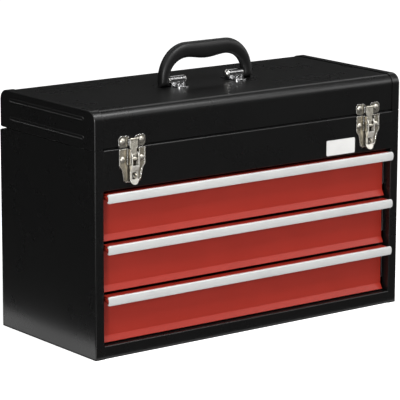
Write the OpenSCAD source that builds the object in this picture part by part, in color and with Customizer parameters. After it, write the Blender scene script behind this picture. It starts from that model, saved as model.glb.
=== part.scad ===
// Portable tool chest: a steel case with three drawers on ball slides, a deep top
// compartment under a hinged lid, two draw latches and a folding carrying handle.
// X runs to the right, Y to the back and Z up. The origin is on the floor, under the
// middle of the case.

/* [Case] */
// Width over the two sides
case_w = 510; // [470:5:600]
// Depth from the front frame to the back sheet
case_d = 220; // [205:5:280]
// Thickness of all the folded sheet
sheet_t = 1; // [0.8:0.1:1.2]
// Bend radius at the middle of the sheet
bend_r = 1.3; // [0.9:0.1:1.5]
// Width of the stile at each side of the drawer opening
stile_w = 14; // [12:1:18]
// Depth of the flanges turned in round the drawer opening
return_d = 13; // [8:1:14]
// Height of the rail under the lowest drawer
rail_h = 17.5; // [14:0.5:30]
// Height of the panel over the top drawer
header_h = 53; // [50:1:80]
// Height of the neck that stands up inside the lid
neck_h = 8; // [5:0.5:12]
// Clearance between the neck and the lid skin
neck_gap = 1; // [0.8:0.1:1.6]
// Length of the neck and shoulder left out at each corner
corner_cut = 13; // [10:1:16]
// How far the back corners of the case drop away under the lid
rear_notch = 3.5; // [2:0.5:6]
// Height of the flange round the compartment floor
tray_flange = 14; // [8:1:20]
// Width of the weld flanges inside the case
weld_flange = 12; // [8:1:13]

/* [Drawers] */
// Height from one drawer to the next
drawer_pitch = 66.8; // [64:0.2:80]
// Gap between a front and its neighbour
front_gap = 1.8; // [1.4:0.1:3]
// Gap between the end of a front and the stile
front_side_gap = 6.3; // [4:0.1:8]
// Depth of the face of a front behind the frame
face_recess = 12.5; // [10:0.5:13]
// How far the foot of a front flares out
flare_out = 4.5; // [2:0.5:6]
// Height of the flare
flare_h = 8.5; // [7:0.5:12]
// How far the pull lip stands ahead of the frame
lip_reach = 3; // [1:0.5:5]
// How far the underside of the lip rises towards the face
lip_rise = 4.5; // [2:0.5:6]
// Height of the silver pull
pull_h = 13; // [11:0.5:16]
// Thickness of the pull
pull_t = 1; // [0.8:0.1:1.4]
// Depth of the pull ahead of the lip
pull_d = 4.8; // [4:0.2:7]
// Depth of the hooks of the pull over the lip
pull_hook = 2; // [1.5:0.5:3]
// Gap between the end of a pull and the stile
pull_side_gap = 1.7; // [1:0.1:4]
// Height of the box floor over the bottom edge of its front
box_lift = 6; // [4:0.5:10]
// Height of the side walls of a drawer box
box_h = 50; // [40:1:52]
// Depth of a drawer box
box_d = 182; // [150:1:186]
// Height of the hem folded inside the top of the box walls
hem_h = 5; // [3:0.5:8]

/* [Slides] */
// Length of the fixed slide member
slide_l = 185; // [170:1:190]
// Travel of a drawer
slide_travel = 125; // [80:5:130]
// Thickness of a slide, member to member
slide_t = 12; // [11.5:0.5:14]
// Thickness of the slide sheet
member_t = 1.2; // [1:0.1:1.4]
// Height of the ball tracks over the middle of the slide
race_z = 13; // [12:0.5:16]
// Radius of a ball
ball_r = 2.4; // [2:0.1:2.5]
// Clearance between a ball and its tracks
ball_clear = 0.08; // [0.04:0.02:0.1]
// Balls in one row
balls_per_row = 5; // [3:1:5]
// Thickness of the ball cage
cage_t = 0.6; // [0.4:0.1:0.7]
// Distance from the middle of a ball to the cage plate that holds it
cage_drop = 0.8; // [0.7:0.1:0.9]
// Clearance between the slides and the back of a drawer front
slide_clear = 0.8; // [0.4:0.1:2]
// Width of the face of a slide upright
upright_w = 24; // [16:1:30]
// Width of the weld feet of a slide upright
upright_foot = 6; // [4:0.5:8]

/* [Lid] */
// Height of the lid over the case
lid_h = 50.8; // [45:0.2:80]
// Radius of the rounded front and back edges of the lid skin
skin_r = 13; // [8:1:18]
// Width of the end cap flange that laps over the skin
cap_flange = 13; // [9:1:18]
// Gap between the end caps and the case
cap_gap = 0.8; // [0.6:0.1:1.5]
// Gap between the edge of the skin and the case
skin_gap = 2.4; // [1.6:0.1:3]
// Radius of the lower back corners of the end caps
cap_foot_r = 5; // [3:0.5:8]
// Length of the two pressed beads on each end cap
bead_l = 172; // [120:2:180]
// Width of a bead
bead_w = 5; // [4:0.5:8]
// How far a bead stands out
bead_out = 1.2; // [0.6:0.1:1.5]
// Height of the lower bead over the seam
bead_low = 14.9; // [8:0.1:16]
// Height of the upper bead over the seam
bead_high = 39.1; // [28:0.1:41]

/* [Hinge] */
// Length of the long hinge on the back
hinge_l = 440; // [300:10:450]
// Number of knuckles along the hinge
hinge_knuckles = 22; // [10:2:24]
// Height of a hinge leaf from the pin
leaf_h = 19; // [14:1:24]
// Outer radius of the knuckles
knuckle_r = 3; // [2.6:0.1:3.4]
// Radius of the hinge pin
hinge_pin_r = 1.5; // [1.2:0.1:1.7]
// Running clearance round every pin
pin_clear = 0.05; // [0.03:0.01:0.1]
// Gap between neighbouring knuckles
knuckle_gap = 0.4; // [0.3:0.1:0.8]
// Height of the hinge pin over the seam
hinge_lift = 1.3; // [1:0.1:2]
// Rivets along each hinge leaf
hinge_rivets = 6; // [3:1:8]
// Radius of the hinge rivet heads
hinge_rivet_r = 2.6; // [2:0.1:3]
// Height of the hinge rivet heads
hinge_rivet_h = 0.9; // [0.6:0.1:1.2]

/* [Latches] */
// Distance from the side of the case to the middle of a latch
latch_inset = 57.5; // [50:0.5:100]
// Width of the latch base plate
latch_w = 40.6; // [39:0.2:44]
// Height of the latch base plate
latch_h = 43.8; // [43.4:0.2:45]
// Thickness of the latch sheet
latch_t = 1.2; // [1:0.1:1.3]
// Width of the base plate under its shoulders
latch_waist_w = 32.4; // [30:0.2:34]
// Width of the foot of the base plate
latch_foot_w = 27; // [24:0.2:29]
// Height of the wide part of the base plate
latch_shoulder = 21.4; // [20:0.2:23]
// Height over which the base plate narrows to its waist
latch_slope = 5.8; // [4:0.2:8]
// Size of the cut corners of the base plate and the keeper
latch_cut = 3; // [2:0.2:4]
// Width of the raised rim of the base plate
latch_rim = 1.2; // [0.8:0.1:1.6]
// Depth of the two rails that carry the lever
rail_d = 7.5; // [7:0.1:8]
// Height of the rails over the lever pivot
rail_rise = 6.2; // [5:0.1:6.4]
// Height of the rails under the lever pivot
rail_fall = 13.5; // [10:0.5:14]
// Width of the lever
lever_w = 11.6; // [11:0.1:12]
// Depth of the lever ahead of the case
lever_d = 8.6; // [8.4:0.1:9]
// Height of the lever pivot below the seam
lever_drop = 7.7; // [7.4:0.1:8.4]
// Distance from the lever pivot to the top of its face
face_top = 15; // [14.4:0.1:16]
// Distance from the lever pivot to the fold at the foot of its face
face_foot = 23.2; // [22:0.1:23.6]
// Distance from the lever pivot to the tip of its tongue
lever_tip = 40; // [39:0.5:42]
// Half width of the tongue
tongue_half = 6.2; // [5.8:0.1:6.4]
// Distance from the lever pivot to the middle of the padlock staple
staple_drop = 28.5; // [28.4:0.1:29]
// Outer radius of the padlock staple
staple_r = 3.7; // [3.2:0.1:3.8]
// Radius of the hole in the staple
staple_hole_r = 2.2; // [1.8:0.1:2.4]
// Thickness of the staple
staple_t = 1.6; // [1.2:0.1:2]
// Distance from the lever pivot to the hook pivot
throw = 6.5; // [5.5:0.1:7]
// Radius of the latch pivots
latch_pin_r = 1.1; // [0.9:0.1:1.3]
// Play at each side of the moving latch pieces
latch_play = 0.4; // [0.3:0.1:0.5]
// Width of the padlock slot in the lever
eye_w = 6.4; // [5:0.1:6.6]
// Width of the keeper on the lid
keeper_w = 41.4; // [40:0.2:46]
// Height of the keeper
keeper_h = 15; // [14.6:0.2:18]
// Distance between the middles of the two keeper rivets
keeper_rivet_span = 29; // [28:0.2:30]
// Half width of the lug on the keeper
lug_half = 5.6; // [5:0.1:5.8]
// Height of the hook head over the foot of the keeper
head_h = 11; // [10:0.1:11.4]
// Gap between the hook head and the lug
hook_gap = 0.8; // [0.6:0.1:1]
// Radius of the round end of the lever, round its pivot
lever_round = 2.6; // [2.3:0.1:2.8]
// Radius of the rivet heads on the latches
rivet_r = 4.4; // [3:0.1:4.6]
// Height of the rivet heads on the latches
rivet_h = 2.4; // [1:0.1:2.6]

/* [Handle] */
// Distance between the middles of the two handle feet
handle_span = 139.4; // [130:0.2:160]
// Height of the middle of the grip over the pivot
handle_rise = 39; // [38:0.2:50]
// Radius of the bend from a leg to the grip
handle_bend = 37.6; // [30:0.2:38]
// Half thickness of a leg, seen from the front
leg_half = 7.2; // [6.5:0.1:9]
// Half depth of the legs, front to back
leg_depth = 7.6; // [6.5:0.1:7.8]
// Half depth of the grip
grip_depth = 8.4; // [7:0.1:9]
// Half thickness of the ends of the grip
grip_half = 10.6; // [8:0.1:11]
// How far the belly of the grip hangs down
belly = 3.2; // [0:0.2:6]
// Distance of the handle ahead of the middle of the lid
handle_front = 3; // [0:0.5:10]
// Height of the handle pivot over the lid skin
pivot_h = 7.9; // [7.9:0.1:9]
// Radius of the dimples in the sides of a bracket
dimple_r = 2; // [1.5:0.1:2.4]
// Depth of the dimples
dimple_t = 1; // [0.5:0.1:1.2]
// Radius of the domed heads at the inner ends of the stubs
head_r = 6; // [5:0.1:6.1]
// Height of the domed heads
head_rise = 4.5; // [3:0.1:5]
// Radius of the collars between the handle feet and the barrels
collar_r = 4.6; // [4:0.1:5]
// Radius of the pivot stubs
stub_r = 3.4; // [2.8:0.1:3.6]
// Outer radius of the bracket barrel
barrel_r = 5.6; // [5:0.1:5.8]
// Length of the bracket barrel
barrel_l = 23; // [18:0.5:24]
// Length of the bracket foot along the lid
foot_l = 22; // [21.5:0.5:24]
// Depth of the bracket foot
foot_d = 41; // [39:0.5:44]
// Thickness of the bracket foot
foot_t = 1.4; // [1:0.1:1.5]
// Radius of the corners of the bracket foot
foot_r = 10.5; // [6:0.5:10.5]
// Distance between the two rivets of a bracket
foot_rivet_span = 29; // [27:0.5:30]
// Radius of the bracket rivet heads
foot_rivet_r = 3.9; // [3:0.1:4.2]
// Height of the bracket rivet heads
foot_rivet_h = 1.8; // [1:0.1:2]

/* [Name plate] */
// Width of the bare plate
plate_w = 50; // [30:1:60]
// Height of the bare plate
plate_h = 21; // [14:1:24]
// Thickness of the bare plate
plate_t = 0.5; // [0.4:0.1:1]
// Distance from the right side of the case to the middle of the plate
plate_inset = 105; // [105:1:180]
// Height of the middle of the plate over the drawer opening
plate_rise = 13.3; // [12:0.1:30]

/* [Hidden] */

$fn = 48;
bend_parts = 5;
side = case_w / 2;
front = -case_d / 2;
back = case_d / 2;
half_open = side - stile_w;
open_top = rail_h + 3 * drawer_pitch + front_gap;
case_h = open_top + header_h;
lid_top = case_h + lid_h;
skin_top = lid_top - sheet_t;
neck_in = 2 * sheet_t + neck_gap;
rim_low = case_h - 2 * bend_r - sheet_t / 2;
bend_in = bend_r + sheet_t / 2;
rear_flat = back - 1.5 * sheet_t - bend_r;

pull_top = drawer_pitch - front_gap;
lip_top = pull_top - pull_t;
lip_bottom = pull_top - pull_h + pull_t;
front_half = half_open - front_side_gap;
pull_half = half_open - pull_side_gap;
box_half = half_open - slide_t;
box_y = front + face_recess + sheet_t;

slide_y = box_y + slide_clear;
slide_mid = box_lift + box_h / 2;
race_r = ball_r + ball_clear + member_t / 2;
race_x = slide_t / 2;
track_z = race_z + race_r * sin(45);
seat_z = race_z - race_r * sin(45);
cage_l = slide_l - slide_travel - 2;

hinge_z = case_h + hinge_lift;
hinge_y = back + knuckle_r;
knuckle_pitch = hinge_l / hinge_knuckles;
leaf_start = knuckle_r + knuckle_gap;

latch_x = side - latch_inset;
plate_x = side - plate_inset;
latch_top = case_h - 1;
lever_z = case_h - lever_drop;
lever_y = front - latch_t - latch_play - lever_round;
lever_reach = lever_d - (front - lever_y);
hook_z = lever_z - throw;
cheek_x = lever_w / 2;
ear_x = cheek_x + latch_play;
hook_half = cheek_x - latch_t - latch_play;
keeper_z = case_h + 0.5;
lug_front = lever_y + latch_t / 2 + hook_gap;
rivet_gap = 0.1;
face_y = -lever_reach + latch_t / 2;

handle_y = -handle_front;
pivot_z = skin_top + pivot_h;
leg_x = handle_span / 2 - leg_half;
barrel_x = leg_x - 2;
barrel_end = barrel_x - barrel_l;
foot_mid = barrel_x - 1 - foot_l / 2;

function drawer_z(i) = rail_h + front_gap + (i - 1) * drawer_pitch;
function polar(r, a) = r * [cos(a), sin(a)];
function heading(a, b) = atan2(b[1] - a[1], b[0] - a[0]);
function wrap(a) = a > 180 ? a - 360 : a <= -180 ? a + 360 : a;
function turn(a, b, c) = wrap(heading(b, c) - heading(a, b));
function setback(a, b, c, r) = r * tan(abs(turn(a, b, c)) / 2);

// Extrusions along the three axes, from one station to the next
module along_x(x0, x1) translate([x0, 0, 0]) rotate([90, 0, 90]) linear_extrude(x1 - x0) children();
module along_y(y0, y1) translate([0, y1, 0]) rotate([90, 0, 0]) linear_extrude(y1 - y0) children();
module along_z(z0, z1) translate([0, 0, z0]) linear_extrude(z1 - z0) children();

// A box from its lowest corner to its highest corner
module block(low, high) translate(low) cube(high - low);

module both_sides() {
    children();
    mirror([1, 0, 0]) children();
}

// A piece of a flat ring, from one angle to the next
module ring_part(r, t, a0, a1) {
    reach = 2 * (r + t);
    intersection() {
        difference() {
            circle(r + t / 2);
            circle(r - t / 2);
        }
        polygon([[0, 0], polar(reach, a0), polar(reach, (a0 + a1) / 2), polar(reach, a1)]);
    }
}

// Bent sheet seen on its edge: straight stretches with a true bend at each corner
module folded(pts, r = bend_r, t = sheet_t) {
    last = len(pts) - 1;
    for (i = [0 : last - 1]) {
        a = pts[i];
        b = pts[i + 1];
        trim_a = i == 0 ? 0 : setback(pts[i - 1], a, b, r);
        trim_b = i == last - 1 ? 0 : setback(a, b, pts[i + 2], r);
        translate(a + polar(trim_a, heading(a, b)))
            rotate(heading(a, b))
                translate([0, -t / 2])
                    square([norm(b - a) - trim_a - trim_b, t]);
    }
    for (i = [1 : last - 1])
        bend(pts[i - 1], pts[i], pts[i + 1], r, t);
}

// The bend of a folded sheet at corner b
module bend(a, b, c, r, t) {
    angle = turn(a, b, c);
    hand = sign(angle);
    from = heading(a, b) - 90 * hand;
    centre = b - polar(setback(a, b, c, r), heading(a, b)) - polar(r, from);
    translate(centre) ring_part(r, t, min(from, from + angle), max(from, from + angle));
}

// Points along a folded line, set off to its left by d, with each bend in short steps
function edge_line(pts, r, d) =
    let (last = len(pts) - 1)
    concat(
        [pts[0] + polar(d, heading(pts[0], pts[1]) + 90)],
        [for (i = [1 : last - 1])
            let (
                a = pts[i - 1],
                b = pts[i],
                c = pts[i + 1],
                angle = turn(a, b, c),
                hand = sign(angle),
                from = heading(a, b) - 90 * hand,
                centre = b - polar(setback(a, b, c, r), heading(a, b)) - polar(r, from)
            )
            for (k = [0 : bend_parts])
                centre + polar(r - hand * d, from + angle * k / bend_parts)],
        [pts[last] + polar(d, heading(pts[last - 1], pts[last]) + 90)]
    );
function backwards(list) = [for (i = [len(list) - 1 : -1 : 0]) list[i]];

// Bent sheet whose stretches may slope
module sloped(pts, r = bend_r, t = sheet_t) {
    polygon(concat(edge_line(pts, r, t / 2), backwards(edge_line(pts, r, -t / 2))));
}

// Low dome of a rivet head, standing on its flat face
module rivet_dome(r, h) {
    ball = (r * r + h * h) / (2 * h);
    rotate_extrude()
        intersection() {
            translate([0, h - ball]) circle(ball);
            square([r, h]);
        }
}

// Case -------------------------------------------------------------------------

// Shoulder and neck round the mouth: x is the distance in from the outer face
module rim_section() {
    folded([
        [sheet_t / 2, rim_low],
        [sheet_t / 2, case_h - sheet_t / 2],
        [neck_in + sheet_t / 2, case_h - sheet_t / 2],
        [neck_in + sheet_t / 2, case_h + neck_h]
    ]);
}

// Plan of the left side: stile, side wall and rear weld flange
module side_plan(inner) {
    wall = -side + sheet_t / 2;
    stile = front + sheet_t / 2;
    rear = back - 1.5 * sheet_t;
    folded(concat(inner, [[wall, stile], [wall, rear], [-side + weld_flange, rear]]));
}

module case_side() {
    jamb = -half_open - sheet_t / 2;
    stile = front + sheet_t / 2;
    difference() {
        union() {
            along_z(0, rail_h) side_plan([[-half_open, stile]]);
            along_z(rail_h, open_top) side_plan([[jamb, front + return_d], [jamb, stile]]);
            along_z(open_top, case_h) side_plan([[-half_open, stile]]);
        }
        block([-side - 1, front + corner_cut, rim_low], [-side + 3, back - corner_cut, case_h + 1]);
        along_x(-side - 1, -side + corner_cut)
            polygon([
                [back - corner_cut, case_h],
                [back + 1, case_h - rear_notch],
                [back + 1, case_h + 1],
                [back - corner_cut, case_h + 1]
            ]);
    }
    along_y(front + corner_cut, back - corner_cut)
        translate([-side, 0]) rim_section();
}

module case_left_side() { color("#1b1b1c") case_side(); }
module case_right_side() { color("#1b1b1c") mirror([1, 0, 0]) case_side(); }

module case_back() {
    color("#1b1b1c") {
        difference() {
            block([-side, back - sheet_t, 0], [side, back, case_h]);
            block([-side + corner_cut, back - 3, rim_low], [side - corner_cut, back + 1, case_h + 1]);
            both_sides()
                block([-side - 1, back - 3, case_h - rear_notch], [-side + corner_cut, back + 1, case_h + 1]);
        }
        along_x(-side + corner_cut, side - corner_cut)
            translate([back, 0]) mirror([1, 0]) rim_section();
    }
}

// Bottom pan with the front rail, and weld flanges up the sides and the back
module case_bottom() {
    wall = side - sheet_t;
    rear = back - sheet_t;
    color("#1b1b1c") {
        along_x(-half_open, half_open)
            folded([
                [front + return_d, rail_h - sheet_t / 2],
                [front + sheet_t / 2, rail_h - sheet_t / 2],
                [front + sheet_t / 2, sheet_t / 2],
                [back - 2 * sheet_t, sheet_t / 2]
            ]);
        along_y(front + return_d, rear_flat)
            folded([
                [-wall + sheet_t / 2, weld_flange],
                [-wall + sheet_t / 2, sheet_t / 2],
                [wall - sheet_t / 2, sheet_t / 2],
                [wall - sheet_t / 2, weld_flange]
            ]);
        block([-half_open, rear - sheet_t, 0], [half_open, rear, weld_flange]);
    }
}

// Panel over the drawers, with its return, its shoulder and its neck
module case_header() {
    color("#1b1b1c")
        along_x(-half_open, half_open)
            folded([
                [front + return_d, open_top + sheet_t / 2],
                [front + sheet_t / 2, open_top + sheet_t / 2],
                [front + sheet_t / 2, case_h - sheet_t / 2],
                [front + neck_in + sheet_t / 2, case_h - sheet_t / 2],
                [front + neck_in + sheet_t / 2, case_h + neck_h]
            ]);
}

// Floor of the top compartment, flanged up on all sides
module tray_floor() {
    floor_z = open_top + 1.5 * sheet_t;
    wall = side - 1.5 * sheet_t;
    color("#1b1b1c") {
        along_x(-half_open, half_open)
            folded([
                [front + 1.5 * sheet_t, floor_z + tray_flange],
                [front + 1.5 * sheet_t, floor_z],
                [back - 1.5 * sheet_t, floor_z],
                [back - 1.5 * sheet_t, floor_z + tray_flange]
            ]);
        along_y(front + return_d, rear_flat)
            folded([
                [-wall, floor_z + tray_flange],
                [-wall, floor_z],
                [wall, floor_z],
                [wall, floor_z + tray_flange]
            ]);
    }
}

// Hat-shaped upright that carries the slides inboard of the stile, from y0 backwards
module upright(y0) {
    wall = -side + 1.5 * sheet_t;
    face = -half_open - sheet_t / 2;
    leg_0 = y0 + upright_foot;
    leg_1 = leg_0 + upright_w;
    along_z(weld_flange, open_top + sheet_t)
        folded([
            [wall, y0],
            [wall, leg_0],
            [face, leg_0],
            [face, leg_1],
            [wall, leg_1],
            [wall, leg_1 + upright_foot]
        ]);
}

module uprights() {
    upright(slide_y + 1);
    upright(slide_y + slide_l - upright_w - 2 * upright_foot);
}

module uprights_left() { color("#8d9093") uprights(); }
module uprights_right() { color("#8d9093") mirror([1, 0, 0]) uprights(); }

// Name plate, left bare
module name_plate() {
    plate_z = open_top + plate_rise;
    color("white")
        block([plate_x - plate_w / 2, front - plate_t, plate_z - plate_h / 2],
            [plate_x + plate_w / 2, front, plate_z + plate_h / 2]);
}

// Drawer slides -----------------------------------------------------------------

// Upper half of the fixed member: web, flange and the ball track over the ball.
// x runs inboard from the upright and y up from the middle of the slide.
module runner_half() {
    folded([[member_t / 2, 0], [member_t / 2, track_z], [race_x - race_r * cos(45), track_z]],
        member_t, member_t);
    translate([race_x, race_z]) ring_part(race_r, member_t, 0, 135);
}

// Upper half of the moving member, with the ball seat under the ball
module member_half() {
    web = slide_t - member_t / 2;
    folded([[web, 0], [web, seat_z], [race_x + race_r * cos(45), seat_z]], member_t, member_t);
    translate([race_x, race_z]) ring_part(race_r, member_t, 225, 315);
}

// Channel of the cage that keeps the balls apart
module cage_half() {
    web = race_x - race_r - cage_t;
    plate = race_z - cage_drop;
    folded([[web, 0], [web, plate], [race_x + ball_r - cage_t / 2, plate]], cage_t, cage_t);
}

// A slide section at the left side of drawer i, from y0 to y1
module slide_part(i, y0, y1) {
    translate([-half_open, 0, drawer_z(i) + slide_mid])
        along_y(y0, y1) {
            children();
            mirror([0, 1]) children();
        }
}

module runner(i) {
    color("#b9bcbf") slide_part(i, slide_y, slide_y + slide_l) runner_half();
}

module runner_left_1() { runner(1); }
module runner_left_2() { runner(2); }
module runner_left_3() { runner(3); }
module runner_right_1() { mirror([1, 0, 0]) runner(1); }
module runner_right_2() { mirror([1, 0, 0]) runner(2); }
module runner_right_3() { mirror([1, 0, 0]) runner(3); }

module drawer_members(i) {
    color("#c4c7ca") both_sides() slide_part(i, slide_y, slide_y + slide_l) member_half();
}

// Both cages of a drawer with their balls, halfway along the slides
module ball_cages(i) {
    start = slide_y + (slide_l - cage_l) / 2;
    ball_pitch = (cage_l - 4 * ball_r) / (balls_per_row - 1);
    color("#d6d8da")
        both_sides() {
            slide_part(i, start, start + cage_l) cage_half();
            for (n = [0 : balls_per_row - 1], up = [-1, 1])
                translate([race_x - half_open, start + 2 * ball_r + n * ball_pitch,
                        drawer_z(i) + slide_mid + up * race_z])
                    sphere(ball_r);
        }
}

module drawer_members_1() { drawer_members(1); }
module drawer_members_2() { drawer_members(2); }
module drawer_members_3() { drawer_members(3); }
module ball_cages_1() { ball_cages(1); }
module ball_cages_2() { ball_cages(2); }
module ball_cages_3() { ball_cages(3); }

// Drawers ------------------------------------------------------------------------

// Open tray with hemmed side walls and a lower back wall
module drawer_box(i) {
    wall = box_half - sheet_t / 2;
    low = sheet_t / 2;
    color("#1f1f20")
        translate([0, 0, drawer_z(i) + box_lift]) {
            along_y(box_y, box_y + box_d)
                folded([[-wall, box_h], [-wall, low], [wall, low], [wall, box_h]]);
            both_sides()
                block([-box_half + sheet_t, box_y, box_h - hem_h],
                    [-box_half + 2 * sheet_t, box_y + box_d, box_h]);
            block([-wall, box_y + box_d - sheet_t, low], [wall, box_y + box_d, box_h - hem_h]);
        }
}

// Section of a drawer front: flared foot, face and hollow lip. y is up from its foot.
module front_section() {
    face = front + face_recess + sheet_t / 2;
    nose = front - lip_reach + sheet_t / 2;
    under = lip_bottom + sheet_t / 2;
    over = lip_top - sheet_t / 2;
    sloped([
        [face, under + lip_rise + 1.5 * sheet_t],
        [face, over],
        [nose, over],
        [nose, under],
        [face, under + lip_rise],
        [face, flare_h],
        [face - flare_out, 0]
    ]);
}

// Closed end of the lip
module lip_end() {
    nose = front - lip_reach + sheet_t;
    inner = front + face_recess;
    along_x(-front_half, -front_half + sheet_t)
        polygon([
            [nose, lip_top - sheet_t],
            [nose, lip_bottom + sheet_t],
            [inner, lip_bottom + sheet_t + lip_rise],
            [inner, lip_top - sheet_t]
        ]);
}

module drawer_front(i) {
    color("#a03329")
        translate([0, 0, drawer_z(i)]) {
            along_x(-front_half, front_half) front_section();
            both_sides() lip_end();
        }
}

// Silver channel that hooks over the top and the bottom of the lip
module drawer_pull(i) {
    nose = front - lip_reach;
    hook = nose + pull_hook;
    crown = nose - pull_d + pull_t / 2;
    high = pull_top - pull_t / 2;
    low = pull_top - pull_h + pull_t / 2;
    color("#e3e4e6")
        translate([0, 0, drawer_z(i)])
            along_x(-pull_half, pull_half)
                sloped([
                    [hook, high],
                    [nose - pull_d / 2, high],
                    [crown, high - pull_h / 4],
                    [crown, low + pull_h / 4],
                    [nose - pull_d / 2 + pull_t, low],
                    [hook, low]
                ], bend_r, pull_t);
}

module drawer_box_1() { drawer_box(1); }
module drawer_box_2() { drawer_box(2); }
module drawer_box_3() { drawer_box(3); }
module drawer_front_1() { drawer_front(1); }
module drawer_front_2() { drawer_front(2); }
module drawer_front_3() { drawer_front(3); }
module drawer_pull_1() { drawer_pull(1); }
module drawer_pull_2() { drawer_pull(2); }
module drawer_pull_3() { drawer_pull(3); }

// Lid ------------------------------------------------------------------------------

// One sheet from the front edge over the top to the back edge
module lid_skin() {
    edge = case_h + skin_gap;
    color("#1b1b1c")
        along_x(-side + bend_in, side - bend_in)
            folded([
                [front + 1.5 * sheet_t, edge],
                [front + 1.5 * sheet_t, skin_top - sheet_t / 2],
                [back - 1.5 * sheet_t, skin_top - sheet_t / 2],
                [back - 1.5 * sheet_t, edge]
            ], skin_r - sheet_t / 2);
}

// Edge of an end cap: x is the depth in from the end, y the distance from the corner centre
module cap_edge() {
    outer = skin_r + sheet_t / 2;
    folded([[cap_flange, outer], [sheet_t / 2, outer], [sheet_t / 2, 0]]);
}

// Round-ended pressed bead along y, with its middle at the origin
module bead_form(r) {
    straight = bead_l / 2 - bead_w / 2;
    rotate([90, 0, 0])
        rotate_extrude()
            intersection() {
                union() {
                    translate([0, straight]) circle(r);
                    translate([0, -straight]) circle(r);
                    square([2 * r, 2 * straight], center = true);
                }
                translate([0, -bead_l]) square([r, 2 * bead_l]);
            }
}

// Left end cap: a pressed end with a flange that laps over the skin, and two beads
module lid_end() {
    low = case_h + cap_gap;
    corner = skin_r + sheet_t;
    bend_z = lid_top - corner;
    bead_r = (pow(bead_w / 2, 2) + pow(bead_out, 2)) / (2 * bead_out);
    bead_x = -side - bead_out + bead_r;
    difference() {
        union() {
            along_z(low, bend_z) translate([-side, front + corner]) mirror([0, 1]) cap_edge();
            along_z(low, bend_z) translate([-side, back - corner]) cap_edge();
            along_y(front + corner, back - corner) translate([-side, bend_z]) cap_edge();
            translate([-side, back - corner, bend_z]) rotate([90, 0, 90]) cap_corner();
            translate([-side, front + corner, bend_z]) rotate([90, 0, 90]) rotate([0, 0, 90]) cap_corner();
            block([-side, front + corner, low], [-side + sheet_t, back - corner, bend_z]);
            for (z = [bead_low, bead_high])
                intersection() {
                    translate([bead_x, 0, case_h + z]) bead_form(bead_r);
                    block([-side - 2 * bead_out, -bead_l, low], [-side + sheet_t, bead_l, lid_top]);
                }
        }
        for (z = [bead_low, bead_high])
            translate([bead_x, 0, case_h + z]) bead_form(bead_r - sheet_t);
        along_x(-side - 1, -side + cap_flange + 1)
            difference() {
                translate([back - cap_foot_r, low - 1]) square([cap_foot_r + 1, cap_foot_r + 1]);
                translate([back - cap_foot_r, low + cap_foot_r]) circle(cap_foot_r);
            }
    }
}

module cap_corner() {
    rotate_extrude(angle = 90)
        mirror([1, -1]) cap_edge();
}

module lid_end_left() { color("#1b1b1c") lid_end(); }
module lid_end_right() { color("#1b1b1c") mirror([1, 0, 0]) lid_end(); }

// Hinge ------------------------------------------------------------------------------

// Every second knuckle along the hinge, each with the tab that joins it to its leaf.
// A root is how deep a tab is let into a leaf that lies behind it.
module knuckles(first, tab_low, tab_high, root = 0) {
    for (n = [first : 2 : hinge_knuckles - 1]) {
        x = -hinge_l / 2 + (n + 0.5) * knuckle_pitch;
        half = (knuckle_pitch - knuckle_gap) / 2;
        along_x(x - half, x + half)
            difference() {
                union() {
                    translate([hinge_y, hinge_z]) circle(knuckle_r);
                    translate([back, hinge_z + tab_low]) square([sheet_t, tab_high - tab_low]);
                    if (root > 0)
                        translate([back - root, hinge_z + leaf_start])
                            square([2 * root, tab_high - leaf_start]);
                }
                translate([hinge_y, hinge_z]) circle(hinge_pin_r + pin_clear);
            }
    }
}

module hinge_case_leaf() {
    color("#2a2a2b") {
        knuckles(0, -leaf_start - sheet_t, 0);
        block([-hinge_l / 2, back, hinge_z - leaf_h], [hinge_l / 2, back + sheet_t, hinge_z - leaf_start]);
    }
}

module hinge_lid_leaf() {
    color("#2a2a2b") {
        knuckles(1, 0, leaf_start + 2 * sheet_t, sheet_t / 2);
        block([-hinge_l / 2, back - sheet_t, hinge_z + leaf_start], [hinge_l / 2, back, hinge_z + leaf_h]);
    }
}

module hinge_pin() {
    color("silver") along_x(-hinge_l / 2, hinge_l / 2) translate([hinge_y, hinge_z]) circle(hinge_pin_r);
}

// Row of rivet heads on a leaf whose outer face is at y
module leaf_rivets(y, z) {
    spacing = hinge_l / hinge_rivets;
    for (n = [0 : hinge_rivets - 1])
        translate([-hinge_l / 2 + (n + 0.5) * spacing, y, z])
            rotate([-90, 0, 0]) rivet_dome(hinge_rivet_r, hinge_rivet_h);
}

module hinge_case_rivets() {
    color("#2a2a2b") leaf_rivets(back + sheet_t, hinge_z - (leaf_h + leaf_start) / 2);
}

module hinge_lid_rivets() {
    color("#2a2a2b") leaf_rivets(back, hinge_z + (leaf_h + leaf_start + 2 * sheet_t) / 2);
}

// Latches ---------------------------------------------------------------------------

// Front view of the base plate, drawn in by a margin. y is down from its top edge.
module base_outline(inset) {
    wide = latch_w / 2 - inset;
    waist = latch_waist_w / 2 - inset;
    foot = latch_foot_w / 2 - inset;
    slope_end = latch_shoulder + latch_slope;
    low = latch_h - inset;
    polygon([
        [-wide, -inset],
        [wide, -inset],
        [wide, -latch_shoulder],
        [waist, -slope_end],
        [foot, latch_cut - low],
        [foot - latch_cut, -low],
        [latch_cut - foot, -low],
        [-foot, latch_cut - low],
        [-waist, -slope_end],
        [-wide, -latch_shoulder]
    ]);
}

// Side of a rail: x is towards the base plate and y up, with the lever pivot at the origin
module rail_side(root) {
    nose = front - rail_d - lever_y;
    polygon([
        [root, rail_rise],
        [nose + latch_t, rail_rise],
        [nose, rail_rise - latch_t],
        [nose, -rail_fall],
        [root, -rail_fall - latch_t]
    ]);
}

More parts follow.
